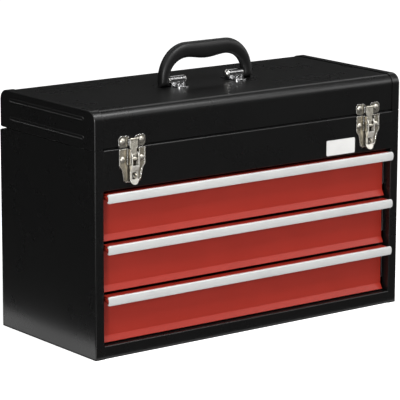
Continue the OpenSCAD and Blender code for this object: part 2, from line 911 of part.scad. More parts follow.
// Base plate with its raised rim, the two rails that carry the lever and the padlock staple
module latch_base() {
    root = front - latch_t / 2;
    staple_y = front - rail_d + 1;
    staple_z = lever_z - staple_drop;
    difference() {
        translate([0, 0, latch_top]) along_y(front - latch_t, front) base_outline(0);
        translate([0, 0, latch_top]) along_y(front - 2 * latch_t, root) base_outline(latch_rim);
    }
    both_sides()
        along_x(ear_x, ear_x + latch_t)
            translate([lever_y, lever_z])
                difference() {
                    rail_side(root - lever_y);
                    circle(latch_pin_r);
                }
    along_x(-staple_t / 2, staple_t / 2)
        difference() {
            union() {
                translate([staple_y, staple_z]) circle(staple_r);
                translate([staple_y, staple_z - staple_r]) square([root - staple_y, 2 * staple_r]);
            }
            translate([staple_y, staple_z]) circle(staple_hole_r);
        }
}

module latch_base_left() { color("#a9a59b") translate([-latch_x, 0, 0]) latch_base(); }
module latch_base_right() { color("#a9a59b") translate([latch_x, 0, 0]) latch_base(); }

module latch_base_rivets() {
    half = latch_w / 2 - latch_rim - rivet_r - rivet_gap;
    rivet_z = latch_top - latch_shoulder + rivet_r + 3;
    color("#c9c6bd")
        for (x = [-latch_x, latch_x], dx = [-half, half])
            translate([x + dx, front - latch_t / 2, rivet_z]) rotate([90, 0, 0]) rivet_dome(rivet_r, rivet_h);
}

// Short stubs that carry the levers in the rails
module latch_pivot_stubs() {
    color("#c9c6bd")
        for (x = [-latch_x, latch_x])
            translate([x, 0, 0])
                both_sides()
                    along_x(cheek_x - latch_t, ear_x + latch_t)
                        translate([lever_y, lever_z]) circle(latch_pin_r);
}

// Side of the lever: x is towards the base plate and y up, with the pivot at the origin
module lever_cheek() {
    rear = lever_round - 0.2;
    circle(lever_round);
    polygon([
        [rear, 0],
        [-lever_round * sin(45), lever_round * cos(45)],
        [-lever_reach, -lever_round],
        [-lever_reach, -face_top - latch_t],
        [-latch_t, -face_foot],
        [0, -face_foot + latch_t],
        [rear, -face_top]
    ]);
}

// Front view of the lever's face and tongue, with the slot for the staple
module lever_face() {
    margin = staple_r + 0.8;
    neck = staple_drop - margin;
    difference() {
        union() {
            polygon([
                [-cheek_x, -face_top],
                [cheek_x, -face_top],
                [cheek_x, -face_top - 2 * latch_t],
                [tongue_half, -neck],
                [tongue_half, tongue_half - lever_tip],
                [-tongue_half, tongue_half - lever_tip],
                [-tongue_half, -neck],
                [-cheek_x, -face_top - 2 * latch_t]
            ]);
            translate([0, tongue_half - lever_tip]) circle(tongue_half);
        }
        translate([-eye_w / 2, -staple_drop - margin]) square([eye_w, 2 * margin]);
    }
}

module latch_lever() {
    tongue_y = -0.4;
    curl_y = -3;
    color("#d0cdc4")
        translate([0, lever_y, lever_z]) {
            both_sides()
                along_x(cheek_x - latch_t, cheek_x)
                    difference() {
                        lever_cheek();
                        circle(latch_pin_r + pin_clear);
                        translate([0, -throw]) circle(latch_pin_r);
                    }
            intersection() {
                along_x(-side, side)
                    sloped([
                        [face_y, -face_top],
                        [face_y, -face_top - 1.5 * latch_t],
                        [tongue_y, -face_foot],
                        [tongue_y, tongue_half - lever_tip + latch_t],
                        [curl_y, -lever_tip - latch_t]
                    ], bend_r, latch_t);
                along_y(-lever_d, lever_d) lever_face();
            }
        }
}

module latch_lever_left() { translate([-latch_x, 0, 0]) latch_lever(); }
module latch_lever_right() { translate([latch_x, 0, 0]) latch_lever(); }

module latch_pin() {
    color("#c9c6bd") along_x(-cheek_x, cheek_x) translate([lever_y, hook_z]) circle(latch_pin_r);
}

module latch_pin_left() { translate([-latch_x, 0, 0]) latch_pin(); }
module latch_pin_right() { translate([latch_x, 0, 0]) latch_pin(); }

// Front view of the hook plate: a stem and a wider head
module hook_outline(head_z, head_top) {
    translate([-hook_half, hook_z]) square([2 * hook_half, head_z - hook_z]);
    translate([-cheek_x, head_z]) square([2 * cheek_x, head_top - head_z]);
}

// Hook plate: a rolled eye round its pin, a stem with a rib, and a head with a rolled lip
module latch_hook() {
    head_z = keeper_z - 1;
    head_top = keeper_z + head_h;
    rib_r = latch_t / 2;
    color("#bdbab1")
        difference() {
            union() {
                along_y(lever_y - latch_t / 2, lever_y + latch_t / 2) hook_outline(head_z, head_top);
                along_x(-hook_half, hook_half) {
                    translate([lever_y, hook_z]) circle(latch_pin_r + latch_t);
                    translate([lever_y - latch_t / 2, lever_z - latch_t]) circle(rib_r);
                }
                along_x(-cheek_x, cheek_x)
                    translate([lever_y - 0.75 * latch_t, head_top]) circle(latch_t);
            }
            along_x(-side, side) translate([lever_y, hook_z]) circle(latch_pin_r + pin_clear);
        }
}

module latch_hook_left() { translate([-latch_x, 0, 0]) latch_hook(); }
module latch_hook_right() { translate([latch_x, 0, 0]) latch_hook(); }

// Front view of the keeper: cut corners, and a dip in the top edge over the lug
module keeper_outline() {
    half = keeper_w / 2;
    dip = keeper_h - 2;
    polygon([
        [-half, latch_cut],
        [latch_cut - half, 0],
        [half - latch_cut, 0],
        [half, latch_cut],
        [half, keeper_h - latch_cut],
        [half - latch_cut, keeper_h],
        [lug_half + latch_cut, keeper_h],
        [lug_half, dip],
        [-lug_half, dip],
        [-lug_half - latch_cut, keeper_h],
        [latch_cut - half, keeper_h],
        [-half, keeper_h - latch_cut]
    ]);
}

// Keeper on the lid: a plate with a raised hollow lug behind the hook head
module keeper() {
    skin = front + sheet_t;
    lug_low = keeper_z + 2;
    lug_top = keeper_z + head_h - 0.8;
    difference() {
        union() {
            translate([0, 0, keeper_z]) along_y(skin - latch_t, skin) keeper_outline();
            block([-lug_half, lug_front, lug_low], [lug_half, skin, lug_top]);
        }
        block([latch_t - lug_half, lug_front + latch_t, keeper_z - 1],
            [lug_half - latch_t, skin + 1, lug_top + keeper_h]);
    }
}

module keeper_left() { color("#a9a59b") translate([-latch_x, 0, 0]) keeper(); }
module keeper_right() { color("#a9a59b") translate([latch_x, 0, 0]) keeper(); }

module keeper_rivets() {
    half = keeper_rivet_span / 2;
    color("#c9c6bd")
        for (x = [-latch_x, latch_x], dx = [-half, half])
            translate([x + dx, front + sheet_t - latch_t, keeper_z + keeper_h / 2 + 0.6])
                rotate([90, 0, 0]) rivet_dome(rivet_r, rivet_h);
}

// Handle ----------------------------------------------------------------------------

// Rectangle with round corners, round the origin
module rounded_plan(l, d, r) {
    square([l - 2 * r, d], center = true);
    square([l, d - 2 * r], center = true);
    for (x = [-1, 1], y = [-1, 1])
        translate([x * (l / 2 - r), y * (d / 2 - r)]) circle(r);
}

// Left bracket: a foot on the lid and a dimpled saddle over the handle stub
module handle_bracket() {
    dimple_z = skin_top + foot_t + dimple_r + 0.4;
    color("#b4b2ac")
        difference() {
            union() {
                along_z(skin_top, skin_top + foot_t)
                    translate([-foot_mid, handle_y]) rounded_plan(foot_l, foot_d, foot_r);
                along_x(-barrel_x, -barrel_end) {
                    translate([handle_y, pivot_z]) circle(barrel_r);
                    translate([handle_y - barrel_r, skin_top]) square([2 * barrel_r, pivot_h]);
                }
            }
            along_x(-side, 0) translate([handle_y, pivot_z]) circle(stub_r + pin_clear);
            for (n = [-1 : 1])
                translate([n * barrel_l / 3 - (barrel_x + barrel_end) / 2, 0, dimple_z]) {
                    along_y(handle_y - barrel_r - 1, handle_y - barrel_r + dimple_t) circle(dimple_r);
                    along_y(handle_y + barrel_r - dimple_t, handle_y + barrel_r + 1) circle(dimple_r);
                }
        }
}

module handle_bracket_left() { handle_bracket(); }
module handle_bracket_right() { mirror([1, 0, 0]) handle_bracket(); }

module bracket_rivets() {
    color("#c9c6bd")
        both_sides()
            for (y = [-1, 1])
                translate([-foot_mid, handle_y + y * foot_rivet_span / 2, skin_top + foot_t])
                    rivet_dome(foot_rivet_r, foot_rivet_h);
}

// The stubs run from inside the handle feet through the barrels to their domed heads
module handle_stubs() {
    play = 0.5;
    color("silver")
        both_sides() {
            along_x(-leg_x - leg_half, play - barrel_end) translate([handle_y, pivot_z]) circle(stub_r);
            along_x(-leg_x, -barrel_x - play) translate([handle_y, pivot_z]) circle(collar_r);
            translate([play - barrel_end, handle_y, pivot_z])
                rotate([0, 90, 0]) rivet_dome(head_r, head_rise);
        }
}

// Middle line of the handle, half of it: a leg, a bend and half the grip
bend_steps = 8;
grip_steps = 5;
bend_x = handle_span / 2 - handle_bend;
bend_z = handle_rise - handle_bend;
function ease(s) = (1 - cos(180 * s)) / 2;
// Each station: x, z, direction of the section, half thickness, half depth
function bend_station(k) =
    let (a = 90 * k / bend_steps, s = ease(k / bend_steps))
    [bend_x + handle_bend * cos(a), bend_z + handle_bend * sin(a), a,
        leg_half + (grip_half - leg_half) * s, leg_depth + (grip_depth - leg_depth) * s];
function grip_station(k) =
    let (s = k / grip_steps, drop = belly / 2 * ease(s))
    [bend_x * (1 - s), bend_z + handle_bend - drop, 90, grip_half + drop, grip_depth];
function foot_station(k) =
    let (a = -90 + 90 * k / 4)
    [handle_span / 2, leg_depth * sin(a), 0, leg_half, leg_depth * max(cos(a), 0.02)];
half_line = concat(
    [for (k = [0 : 4]) foot_station(k)],
    [for (k = [0 : bend_steps]) bend_station(k)],
    [for (k = [1 : grip_steps]) grip_station(k)]
);
stations = concat(
    half_line,
    [for (k = [len(half_line) - 2 : -1 : 0])
        let (s = half_line[k]) [-s[0], s[1], 180 - s[2], s[3], s[4]]]
);
ring_sides = 20;
// Point n of the ring round a station: a rounded section that is fuller than an ellipse
function full(c) = sign(c) * pow(abs(c), 0.8);
function ring_point(s, n) =
    let (a = 360 * n / ring_sides, across = s[3] * full(cos(a)), deep = s[4] * full(sin(a)))
    [s[0] + across * cos(s[2]), handle_y + deep, pivot_z + s[1] + across * sin(s[2])];

module handle_grip() {
    rings = len(stations);
    points = [for (s = stations, n = [0 : ring_sides - 1]) ring_point(s, n)];
    walls = [for (r = [0 : rings - 2], n = [0 : ring_sides - 1])
        let (a = r * ring_sides + n, b = r * ring_sides + (n + 1) % ring_sides)
            each [[a, a + ring_sides, b], [b, a + ring_sides, b + ring_sides]]];
    first = [for (n = [0 : ring_sides - 1]) n];
    last = [for (n = [ring_sides - 1 : -1 : 0]) (rings - 1) * ring_sides + n];
    color("#1a1a1b")
        difference() {
            polyhedron(points = points, faces = concat([first], walls, [last]), convexity = 4);
            both_sides()
                along_x(-leg_x - leg_half, 1 - leg_x)
                    translate([handle_y, pivot_z]) circle(stub_r);
        }
}

case_left_side();
case_right_side();
case_back();
case_bottom();
case_header();
tray_floor();
uprights_left();
uprights_right();
runner_left_1();
runner_right_1();
runner_left_2();
runner_right_2();
runner_left_3();
runner_right_3();
hinge_case_leaf();
hinge_pin();
hinge_case_rivets();
name_plate();
latch_base_left();
latch_base_right();
latch_base_rivets();
latch_pivot_stubs();
lid_skin();
lid_end_left();
lid_end_right();
hinge_lid_leaf();
hinge_lid_rivets();
keeper_left();
keeper_right();
keeper_rivets();
handle_bracket_left();
handle_bracket_right();
bracket_rivets();
handle_grip();
handle_stubs();
latch_lever_left();
latch_lever_right();
latch_pin_left();
latch_pin_right();
latch_hook_left();
latch_hook_right();
drawer_box_1();
drawer_front_1();
drawer_pull_1();
drawer_members_1();
ball_cages_1();
drawer_box_2();
drawer_front_2();
drawer_pull_2();
drawer_members_2();
ball_cages_2();
drawer_box_3();
drawer_front_3();
drawer_pull_3();
drawer_members_3();
ball_cages_3();
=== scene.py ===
"""Looks of a portable tool chest with three drawers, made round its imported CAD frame.

Lengths are in metres and the axes are the frame's own: X to the right seen from the
front, Y to the back and Z up.
"""

import logging
import math
from dataclasses import dataclass, field
from enum import Enum

import bmesh
import bpy
from mathutils import Matrix, Vector


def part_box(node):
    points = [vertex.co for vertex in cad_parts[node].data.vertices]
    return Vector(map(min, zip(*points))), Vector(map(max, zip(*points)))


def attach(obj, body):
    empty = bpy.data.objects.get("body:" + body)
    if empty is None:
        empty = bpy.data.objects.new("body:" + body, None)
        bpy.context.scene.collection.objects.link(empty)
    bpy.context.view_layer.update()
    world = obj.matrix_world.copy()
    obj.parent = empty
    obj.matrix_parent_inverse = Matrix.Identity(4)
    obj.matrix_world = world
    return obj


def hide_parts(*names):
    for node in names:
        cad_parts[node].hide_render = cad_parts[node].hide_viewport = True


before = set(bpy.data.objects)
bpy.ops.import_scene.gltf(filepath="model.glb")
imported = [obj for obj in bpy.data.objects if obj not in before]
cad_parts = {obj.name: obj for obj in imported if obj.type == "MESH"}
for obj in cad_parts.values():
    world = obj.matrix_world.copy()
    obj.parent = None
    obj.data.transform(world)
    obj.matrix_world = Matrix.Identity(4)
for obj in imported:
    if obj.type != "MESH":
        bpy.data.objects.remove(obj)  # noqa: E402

log = logging.getLogger("tool_chest")

Colour = tuple[float, float, float]
Point = tuple[float, float, float]
Flat = tuple[float, float]  # A point of a section: depth and height.
Corner = tuple[float, float, float]  # A corner of a section: depth, height and its bend's radius.
Span = tuple[float, float]  # The two ends of a range.
Node, Tree, Socket = bpy.types.Node, bpy.types.NodeTree, bpy.types.NodeSocket
Material = bpy.types.Material

WHITE: Colour = (1.0, 1.0, 1.0)
MIX_INPUTS, MIX_OUTPUT = (0, 6, 7), 2  # A Mix node's share and two colours, and what comes out.

# The shared effects. A scale counts what fits in a metre.
FLOW_SCALE, PORE_SCALE, PORE_SHARE = 22.0, 2600.0, 0.35  # Slow waves, pores and their depth.
BEVEL_SAMPLES, HOLLOW_SAMPLES = 6, 8  # Rays that look for an edge, and for a hollow.
EDGE_COSINES: Span = (0.99, 0.80)  # Cosine of the turn where an edge begins, and is full.
CHIP_SCALE, CHIP_SPAN = 260.0, (0.46, 0.66)  # Worn spots, and the noise where one starts.
OPEN_SPAN: Span = (0.45, 0.92)  # Share of open sky where a hollow is full, and where it ends.
LINE_STRETCH, TONE_SCALE = 0.012, 35.0  # Width of a rolling line to its length, gloss patches.

# The finishes: brightness of patches, share of the relief that shows, and the smears.
POWDER_PATCH, POWDER_RELIEF, POWDER_SMEARS = 0.82, 0.5, {"Scale": 11.0, "Strength": 0.10}
PLASTIC_PATCH, PLASTIC_RELIEF, PLASTIC_SMEARS = 0.75, 0.7, {"Scale": 30.0, "Strength": 0.18}
COAT_SHADE_TONE, COAT_SHADE_MATT, COAT_SHADE_REACH = 0.3, 0.5, 0.004  # Painted shade in hollows of the coat: brightness, more roughness, and reach.
LINE_SCALE, METAL_RELIEF, METAL_WEAR, METAL_POLISH = 900.0, 0.6, 0.6, 1.25
TARNISH_SPAN, TARNISH_SHARE = (0.45, 0.75), 0.8  # Noise of a blotch, and how much shows in it.
GLOSS_SPREAD, METAL_SHADE_TONE = 0.25, 0.12  # How the gloss varies, and how dark the painted shade in hollows is.
# Near-white colour of the painted highlight along metal edges.
GLINT_COLOUR: Colour = (0.95, 0.95, 0.94)

# The studio.
SENSOR_WIDTH, FAR_CLIP = 36.0, 50.0  # Of the camera: millimetres, and metres.
FLOOR_CARD = 0.002  # Height at which a card lies on the floor.
# Colour of the cards that paint dark reflections.
REFLECTION_BLACK: Colour = (0.01, 0.01, 0.01)
FLOOR_GREY: Colour = (0.86, 0.86, 0.86)
FLOOR_GLOW = 0.68  # What the floor adds, so that it is white where no shadow falls.


# Shared shader effects


class Effect(Enum):
    """The shader effects that more than one finish uses."""

    ORANGE_PEEL = "orange_peel"
    EDGE_WEAR = "edge_wear"
    HANDLING = "handling"
    BRUSHING = "brushing"
    # Painted shade in hollows, from ambient occlusion.
    PAINTED_SHADE = "painted_shade"


@dataclass
class Graph:
    """A node tree with short ways to add and join nodes.

    Args:
        tree: The node tree that is being filled.
    """

    tree: Tree

    def add(self, kind: str, **settings: object) -> Node:
        """Adds a node.

        Args:
            kind: The node's type name in Blender.
            settings: Properties of the node, by name.

        Returns:
            The new node.
        """
        node = self.tree.nodes.new(kind)
        for name, value in settings.items():
            setattr(node, name, value)
        return node

    def feed(self, node: Node, *pairs: tuple[int, object], **named: object) -> Node:
        """Sets or links inputs of a node, each to a number, a vector, a colour or an output.

        Args:
            node: The node whose inputs are set.
            pairs: Places of inputs, each with what it takes.
            named: What other inputs take, by their names with underscores for spaces.

        Returns:
            The same node.
        """
        for key, value in (*pairs, *((k.replace("_", " "), v) for k, v in named.items())):
            socket = node.inputs[key]
            if isinstance(value, Socket):
                self.tree.links.new(value, socket)
            else:
                socket.default_value = (*value, 1.0) if socket.type == "RGBA" else value
        return node

    def math(self, operation: str, a: object, b: object, clamp: bool = False) -> Socket:
        """Adds a sum, product or other operation on two values.

        Args:
            operation: The name of the operation.
            a: The first value or output.
            b: The second value or output.
            clamp: Whether the result is kept between 0 and 1.

        Returns:
            The output with the result.
        """
        node = self.add("ShaderNodeMath", operation=operation, use_clamp=clamp)
        return self.feed(node, (0, a), (1, b)).outputs[0]

    def between(self, value: Socket, span: Span, to_span: Span) -> Socket:
        """Maps a value smoothly from one range to another.

        Args:
            value: The output that is mapped.
            span: Two values.
            to_span: What they are mapped to.

        Returns:
            The mapped output.
        """
        node = self.add("ShaderNodeMapRange", interpolation_type="SMOOTHSTEP")
        (low, high), (to_low, to_high) = span, to_span
        self.feed(node, Value=value, From_Min=low, From_Max=high, To_Min=to_low, To_Max=to_high)
        return node.outputs["Result"]

    def blend(self, share: object, a: object, b: object) -> Socket:
        """Mixes two colours.

        Args:
            share: How much of the second colour shows, from 0 to 1.
            a: The first colour, or an output.
            b: The second colour, or an output.

        Returns:
            The output with the mixed colour.
        """
        node = self.add("ShaderNodeMix", data_type="RGBA")
        return self.feed(node, *zip(MIX_INPUTS, (share, a, b))).outputs[MIX_OUTPUT]

    def position(self) -> Socket:
        """Gives the place of the shaded point on its object."""
        return self.add("ShaderNodeTexCoord").outputs["Object"]

    def noise(self, place: Socket, scale: object, detail: float, roughness: float = 0.5) -> Socket:
        """Adds a noise texture.

        Args:
            place: The coordinates.
            scale: How many blotches fit in a metre.
            detail: How many finer layers are added.
            roughness: How strong the finer layers are.

        Returns:
            The noise as a value round 0.5.
        """
        return self.feed(self.add("ShaderNodeTexNoise"), Vector=place, Scale=scale, Detail=detail,
                         Roughness=roughness).outputs["Fac"]


def cleared(owner: Material | bpy.types.World) -> Graph:
    """Gives a material or a world an empty node tree.

    Args:
        owner: The material or the world.

    Returns:
        The tree's graph.
    """
    owner.use_nodes = True
    owner.node_tree.nodes.clear()
    return Graph(owner.node_tree)


@dataclass
class EffectLibrary:
    """Builds each shared shader effect once, as a node group with named sockets.

    Args:
        made: The node groups that are built so far.
    """

    made: dict[Effect, Tree] = field(default_factory=dict)

    def place(self, graph: Graph, effect: Effect, **inputs: object) -> Node:
        """Places an effect in a material.

        Args:
            graph: The material's node tree.
            effect: Which effect.
            inputs: Values for the group's inputs.

        Returns:
            The group node.
        """
        if effect not in self.made:
            getattr(self, f"_{effect.value}")()
        node = graph.add("ShaderNodeGroup", node_tree=self.made[effect])
        return graph.feed(node, **inputs)

    def _group(self, effect: Effect, inputs: tuple[str, ...],
               outputs: dict[str, str]) -> tuple[Graph, Node, Node]:
        """Starts a node group, and keeps it.

        Args:
            effect: The effect that the group makes.
            inputs: Names of its inputs, which all take a number.
            outputs: What each of its outputs gives, by name.

        Returns:
            The group's graph, its input node and its output node.
        """
        tree = self.made[effect] = bpy.data.node_groups.new(effect.value, "ShaderNodeTree")
        for name in inputs:
            tree.interface.new_socket(name, in_out="INPUT", socket_type="NodeSocketFloat")
        for name, kind in outputs.items():
            tree.interface.new_socket(name, in_out="OUTPUT", socket_type=f"NodeSocket{kind}")
        graph = Graph(tree)
        return graph, graph.add("NodeGroupInput"), graph.add("NodeGroupOutput")

    def _orange_peel(self) -> None:
        """The fine pebbled surface of baked powder, as a height and a slow flow of gloss."""
        graph, given, result = self._group(
            Effect.ORANGE_PEEL, ("Scale",), {"Height": "Float", "Flow": "Float"})
        place = graph.position()
        fine = graph.noise(place, given.outputs["Scale"], 1.0)
        pores = graph.math("MULTIPLY", graph.noise(place, PORE_SCALE, 1.0), PORE_SHARE)
        graph.feed(result, Height=graph.math("ADD", fine, pores),
                   Flow=graph.noise(place, FLOW_SCALE, 3.0))

    def _edge_wear(self) -> None:
        """Where hands and other tools rub: a mask on the outer edges, broken up by noise."""
        graph, given, result = self._group(
            Effect.EDGE_WEAR, ("Radius", "Amount"),
            {"Mask": "Float", "Edge": "Float", "Normal": "Vector"})
        soft = graph.feed(graph.add("ShaderNodeBevel", samples=BEVEL_SAMPLES),
                          Radius=given.outputs["Radius"])
        shape = graph.add("ShaderNodeNewGeometry")
        same = graph.feed(graph.add("ShaderNodeVectorMath", operation="DOT_PRODUCT"),
                          (0, soft.outputs["Normal"]), (1, shape.outputs["Normal"]))
        edge = graph.between(same.outputs["Value"], EDGE_COSINES, (0.0, 1.0))
        spots = graph.noise(graph.position(), CHIP_SCALE, 4.0, 0.65)
        broken = graph.math("MULTIPLY", edge, graph.between(spots, CHIP_SPAN, (0.0, 1.0)))
        worn = graph.math("MULTIPLY", broken, given.outputs["Amount"], clamp=True)
        graph.feed(result, Mask=worn, Edge=edge, Normal=soft.outputs["Normal"])

    def _handling(self) -> None:
        """Faint smears and settled dust that change the gloss over a hand's width."""
        graph, given, result = self._group(
            Effect.HANDLING, ("Scale", "Strength"), {"Smear": "Float"})
        wide = graph.noise(graph.position(), given.outputs["Scale"], 4.0, 0.6)
        centred = graph.math("SUBTRACT", wide, 0.5)
        graph.feed(result, Smear=graph.math("MULTIPLY", centred, given.outputs["Strength"]))

    def _painted_shade(self) -> None:
        """Where two surfaces nearly meet, as a mask for painted shade: 1 in a hollow, 0 in the open.
        """
        graph, given, result = self._group(Effect.PAINTED_SHADE, ("Reach",), {"Mask": "Float"})
        hollow = graph.add("ShaderNodeAmbientOcclusion", samples=HOLLOW_SAMPLES)
        graph.feed(hollow, Distance=given.outputs["Reach"])
        graph.feed(result, Mask=graph.between(hollow.outputs["AO"], OPEN_SPAN, (1.0, 0.0)))

    def _brushing(self) -> None:
        """Fine rolling lines along X, as a height and a tone."""
        graph, given, result = self._group(
            Effect.BRUSHING, ("Scale",), {"Height": "Float", "Tone": "Float"})
        place = graph.position()
        stretch = graph.feed(graph.add("ShaderNodeMapping"), Vector=place,
                             Scale=(LINE_STRETCH, 1.0, 1.0))
        lines = graph.noise(stretch.outputs["Vector"], given.outputs["Scale"], 3.0)
        graph.feed(result, Height=lines, Tone=graph.noise(place, TONE_SCALE, 3.0))


EFFECTS = EffectLibrary()


# Finishes

MADE: dict[str, Material] = {}


def linear(red: int, green: int, blue: int) -> Colour:
    """Turns a colour on a screen, from 0 to 255, into the values that a shader takes."""
    shares = (red / 255, green / 255, blue / 255)
    return tuple(v / 12.92 if v <= 0.04045 else ((v + 0.055) / 1.055) ** 2.4 for v in shares)


def shaded(colour: Colour, share: float) -> Colour:
    """Makes a colour darker or brighter by a share, up to white."""
    return tuple(min(1.0, share * value) for value in colour)


@dataclass(frozen=True)
class Finish:
    """What every finish has in common.

    Args:
        name: The material's name.
        slot: The record's material slot. It is not used.
        colour: Its colour, as the shader takes it.
        roughness: How blurred its reflections are, from 0 to 1.
    """

    name: str
    slot: str
    colour: Colour
    roughness: float

    def material(self) -> Material:
        """Gives the finish's material, and builds it where nothing has asked for it yet.

        Returns:
            The material.
        """
        if self.name not in MADE:
            MADE[self.name] = self.build()
        return MADE[self.name]

    def build(self) -> Material:
        """Builds the material and returns it."""
        return self.start()[0]

    def start(self) -> tuple[Material, Graph, Node]:
        """Starts the material.

        Returns:
            The material, its graph and its surface shader.
        """
        material = bpy.data.materials.new(self.name)
        graph = cleared(material)
        shader = graph.add("ShaderNodeBsdfPrincipled")
        graph.feed(graph.add("ShaderNodeOutputMaterial"), Surface=shader.outputs["BSDF"])
        graph.feed(shader, Base_Color=self.colour, Roughness=self.roughness)
        material.diffuse_color = (*self.colour, 1.0)
        return material, graph, shader


@dataclass(frozen=True)
class PowderCoat(Finish):
    """Baked powder coat on steel, a little pebbled and worn through nowhere.

    Args:
        specular: Strength of its clear reflections.
        wear_colour: Its colour where edges are polished by use.
        wear: How much of the edges is polished.
        edge: Radius over which its sharp edges look rounded, in metres.
        peel: Depth of the pebbling, in metres.
        peel_scale: How many pebbles fit in a metre.
    """

    specular: float = 0.5
    wear_colour: Colour = (0.05, 0.05, 0.05)
    wear: float = 0.4
    edge: float = 0.0009
    peel: float = 0.00002
    peel_scale: float = 900.0

    def build(self) -> Material:
        """Builds the material.

        Returns:
            The material.
        """
        material, graph, shader = self.start()
        peel = EFFECTS.place(graph, Effect.ORANGE_PEEL, Scale=self.peel_scale).outputs
        edge = EFFECTS.place(graph, Effect.EDGE_WEAR, Radius=self.edge, Amount=self.wear).outputs
        hand = EFFECTS.place(graph, Effect.HANDLING, **POWDER_SMEARS)
        # Painted shade: where surfaces nearly meet, the coat is darker and reflects less; it is also
        # rougher there.
        coat_shade = EFFECTS.place(graph, Effect.PAINTED_SHADE, Reach=COAT_SHADE_REACH).outputs["Mask"]
        colour = graph.blend(peel["Flow"], shaded(self.colour, POWDER_PATCH), self.colour)
        colour = graph.blend(edge["Mask"], colour, self.wear_colour)
        colour = graph.blend(coat_shade, colour, shaded(self.colour, COAT_SHADE_TONE))
        gloss = graph.math("ADD", self.roughness, hand.outputs["Smear"])
        matt = graph.math("MULTIPLY", coat_shade, COAT_SHADE_MATT)
        clear = graph.math("SUBTRACT", 1.0, coat_shade, clamp=True)
        bump = graph.feed(graph.add("ShaderNodeBump"), Strength=POWDER_RELIEF, Distance=self.peel,
                          Height=peel["Height"], Normal=edge["Normal"])
        graph.feed(shader, Base_Color=colour, Normal=bump.outputs["Normal"],
                   Roughness=graph.math("ADD", gloss, matt, clamp=True),
                   Specular_IOR_Level=graph.math("MULTIPLY", clear, self.specular))
        return material


@dataclass(frozen=True)
class Metal(Finish):
    """Bare or plated metal.

    Args:
        dull: Its colour where it has tarnished.
        blotch: How many tarnished blotches fit in a metre.
        metallic: How far it mirrors like metal, from 0 to 1.
        brushed: Depth of its rolling lines, in metres.
        edge: Radius over which its sharp edges look rounded, in metres.
        rim: Strength of a painted highlight, a near-white line along its edges, from 0 to 1.
        hollow_shade: Strength of the painted shade in its hollows, from 0 to 1.
        hollow_shade_reach: Gap under which a hollow gets painted shade, in metres.
    """

    dull: Colour = (0.3, 0.3, 0.3)
    blotch: float = 60.0
    metallic: float = 1.0
    brushed: float = 0.00001
    edge: float = 0.0004
    rim: float = 0.0
    hollow_shade: float = 0.0
    hollow_shade_reach: float = 0.006

    def build(self) -> Material:
        """Builds the material.

        Returns:
            The material.
        """
        material, graph, shader = self.start()
        lines = EFFECTS.place(graph, Effect.BRUSHING, Scale=LINE_SCALE).outputs
        edge = EFFECTS.place(graph, Effect.EDGE_WEAR, Radius=self.edge, Amount=METAL_WEAR).outputs
        spots = graph.noise(graph.position(), self.blotch, 4.0, 0.6)
        tarnish = graph.between(spots, TARNISH_SPAN, (0.0, TARNISH_SHARE))
        colour = graph.blend(tarnish, self.colour, self.dull)
        colour = graph.blend(edge["Mask"], colour, shaded(self.colour, METAL_POLISH))
        # Painted shade: hollows are darkened towards a dark copy of the tarnish colour.
        if self.hollow_shade:
            hollow = EFFECTS.place(graph, Effect.PAINTED_SHADE, Reach=self.hollow_shade_reach)
            deep = graph.math("MULTIPLY", hollow.outputs["Mask"], self.hollow_shade)
            colour = graph.blend(deep, colour, shaded(self.dull, METAL_SHADE_TONE))
        # Painted highlight: a near-white line along every edge, not broken up like wear.
        if self.rim:
            edge_glint = graph.math("MULTIPLY", edge["Edge"], self.rim)
            colour = graph.blend(edge_glint, colour, GLINT_COLOUR)
        tone = graph.math("SUBTRACT", lines["Tone"], 0.5)
        varied = graph.math("MULTIPLY", tone, GLOSS_SPREAD)
        bump = graph.feed(graph.add("ShaderNodeBump"), Strength=METAL_RELIEF, Distance=self.brushed,
                          Height=lines["Height"], Normal=edge["Normal"])
        graph.feed(shader, Base_Color=colour, Metallic=self.metallic,
                   Roughness=graph.math("ADD", self.roughness, varied, clamp=True),
                   Normal=bump.outputs["Normal"])
        return material


@dataclass(frozen=True)
class Plastic(Finish):
    """Moulded plastic with a fine spark-eroded grain.

    Args:
        specular: Strength of its clear reflections.
        grain: Depth of the grain, in metres.
        grain_scale: How many grains fit in a metre.
    """

    specular: float = 0.4
    grain: float = 0.00004
    grain_scale: float = 1500.0

    def build(self) -> Material:
        """Builds the material.

        Returns:
            The material.
        """
        material, graph, shader = self.start()
        peel = EFFECTS.place(graph, Effect.ORANGE_PEEL, Scale=self.grain_scale).outputs
        hand = EFFECTS.place(graph, Effect.HANDLING, **PLASTIC_SMEARS)
        bump = graph.feed(graph.add("ShaderNodeBump"), Strength=PLASTIC_RELIEF,
                          Distance=self.grain, Height=peel["Height"])
        graph.feed(shader, Specular_IOR_Level=self.specular, Normal=bump.outputs["Normal"],
                   Base_Color=graph.blend(peel["Flow"], shaded(self.colour, PLASTIC_PATCH),
                                          self.colour),
                   Roughness=graph.math("ADD", self.roughness, hand.outputs["Smear"], clamp=True))
        return material


CASE_BLACK = PowderCoat("case_black", "case_black", linear(15, 15, 15), 0.28, specular=0.40,
                        wear_colour=linear(34, 34, 35), wear=0.2, edge=0.0003)
BOX_BLACK = PowderCoat("box_black", "box_black", linear(20, 20, 21), 0.42, specular=0.30)
HINGE_BLACK = PowderCoat("hinge_black", "hinge_black", linear(20, 20, 20), 0.30, specular=0.40)
FRONT_RED = PowderCoat("front_red", "front_red", linear(161, 45, 33), 0.34, specular=0.26,
                       wear_colour=linear(190, 76, 66), wear=0.5)
PULL_SILVER = Metal("pull_silver", "pull_silver", linear(204, 205, 204), 0.46,
                    dull=linear(197, 198, 198), blotch=20.0, metallic=0.25)
SLIDE_ZINC = Metal("slide_zinc", "slide_zinc", linear(196, 199, 203), 0.38,
                   dull=linear(165, 168, 173))
CAGE_STEEL = Metal("cage_steel", "cage_steel", linear(214, 216, 219), 0.18,
                   dull=linear(180, 182, 185))
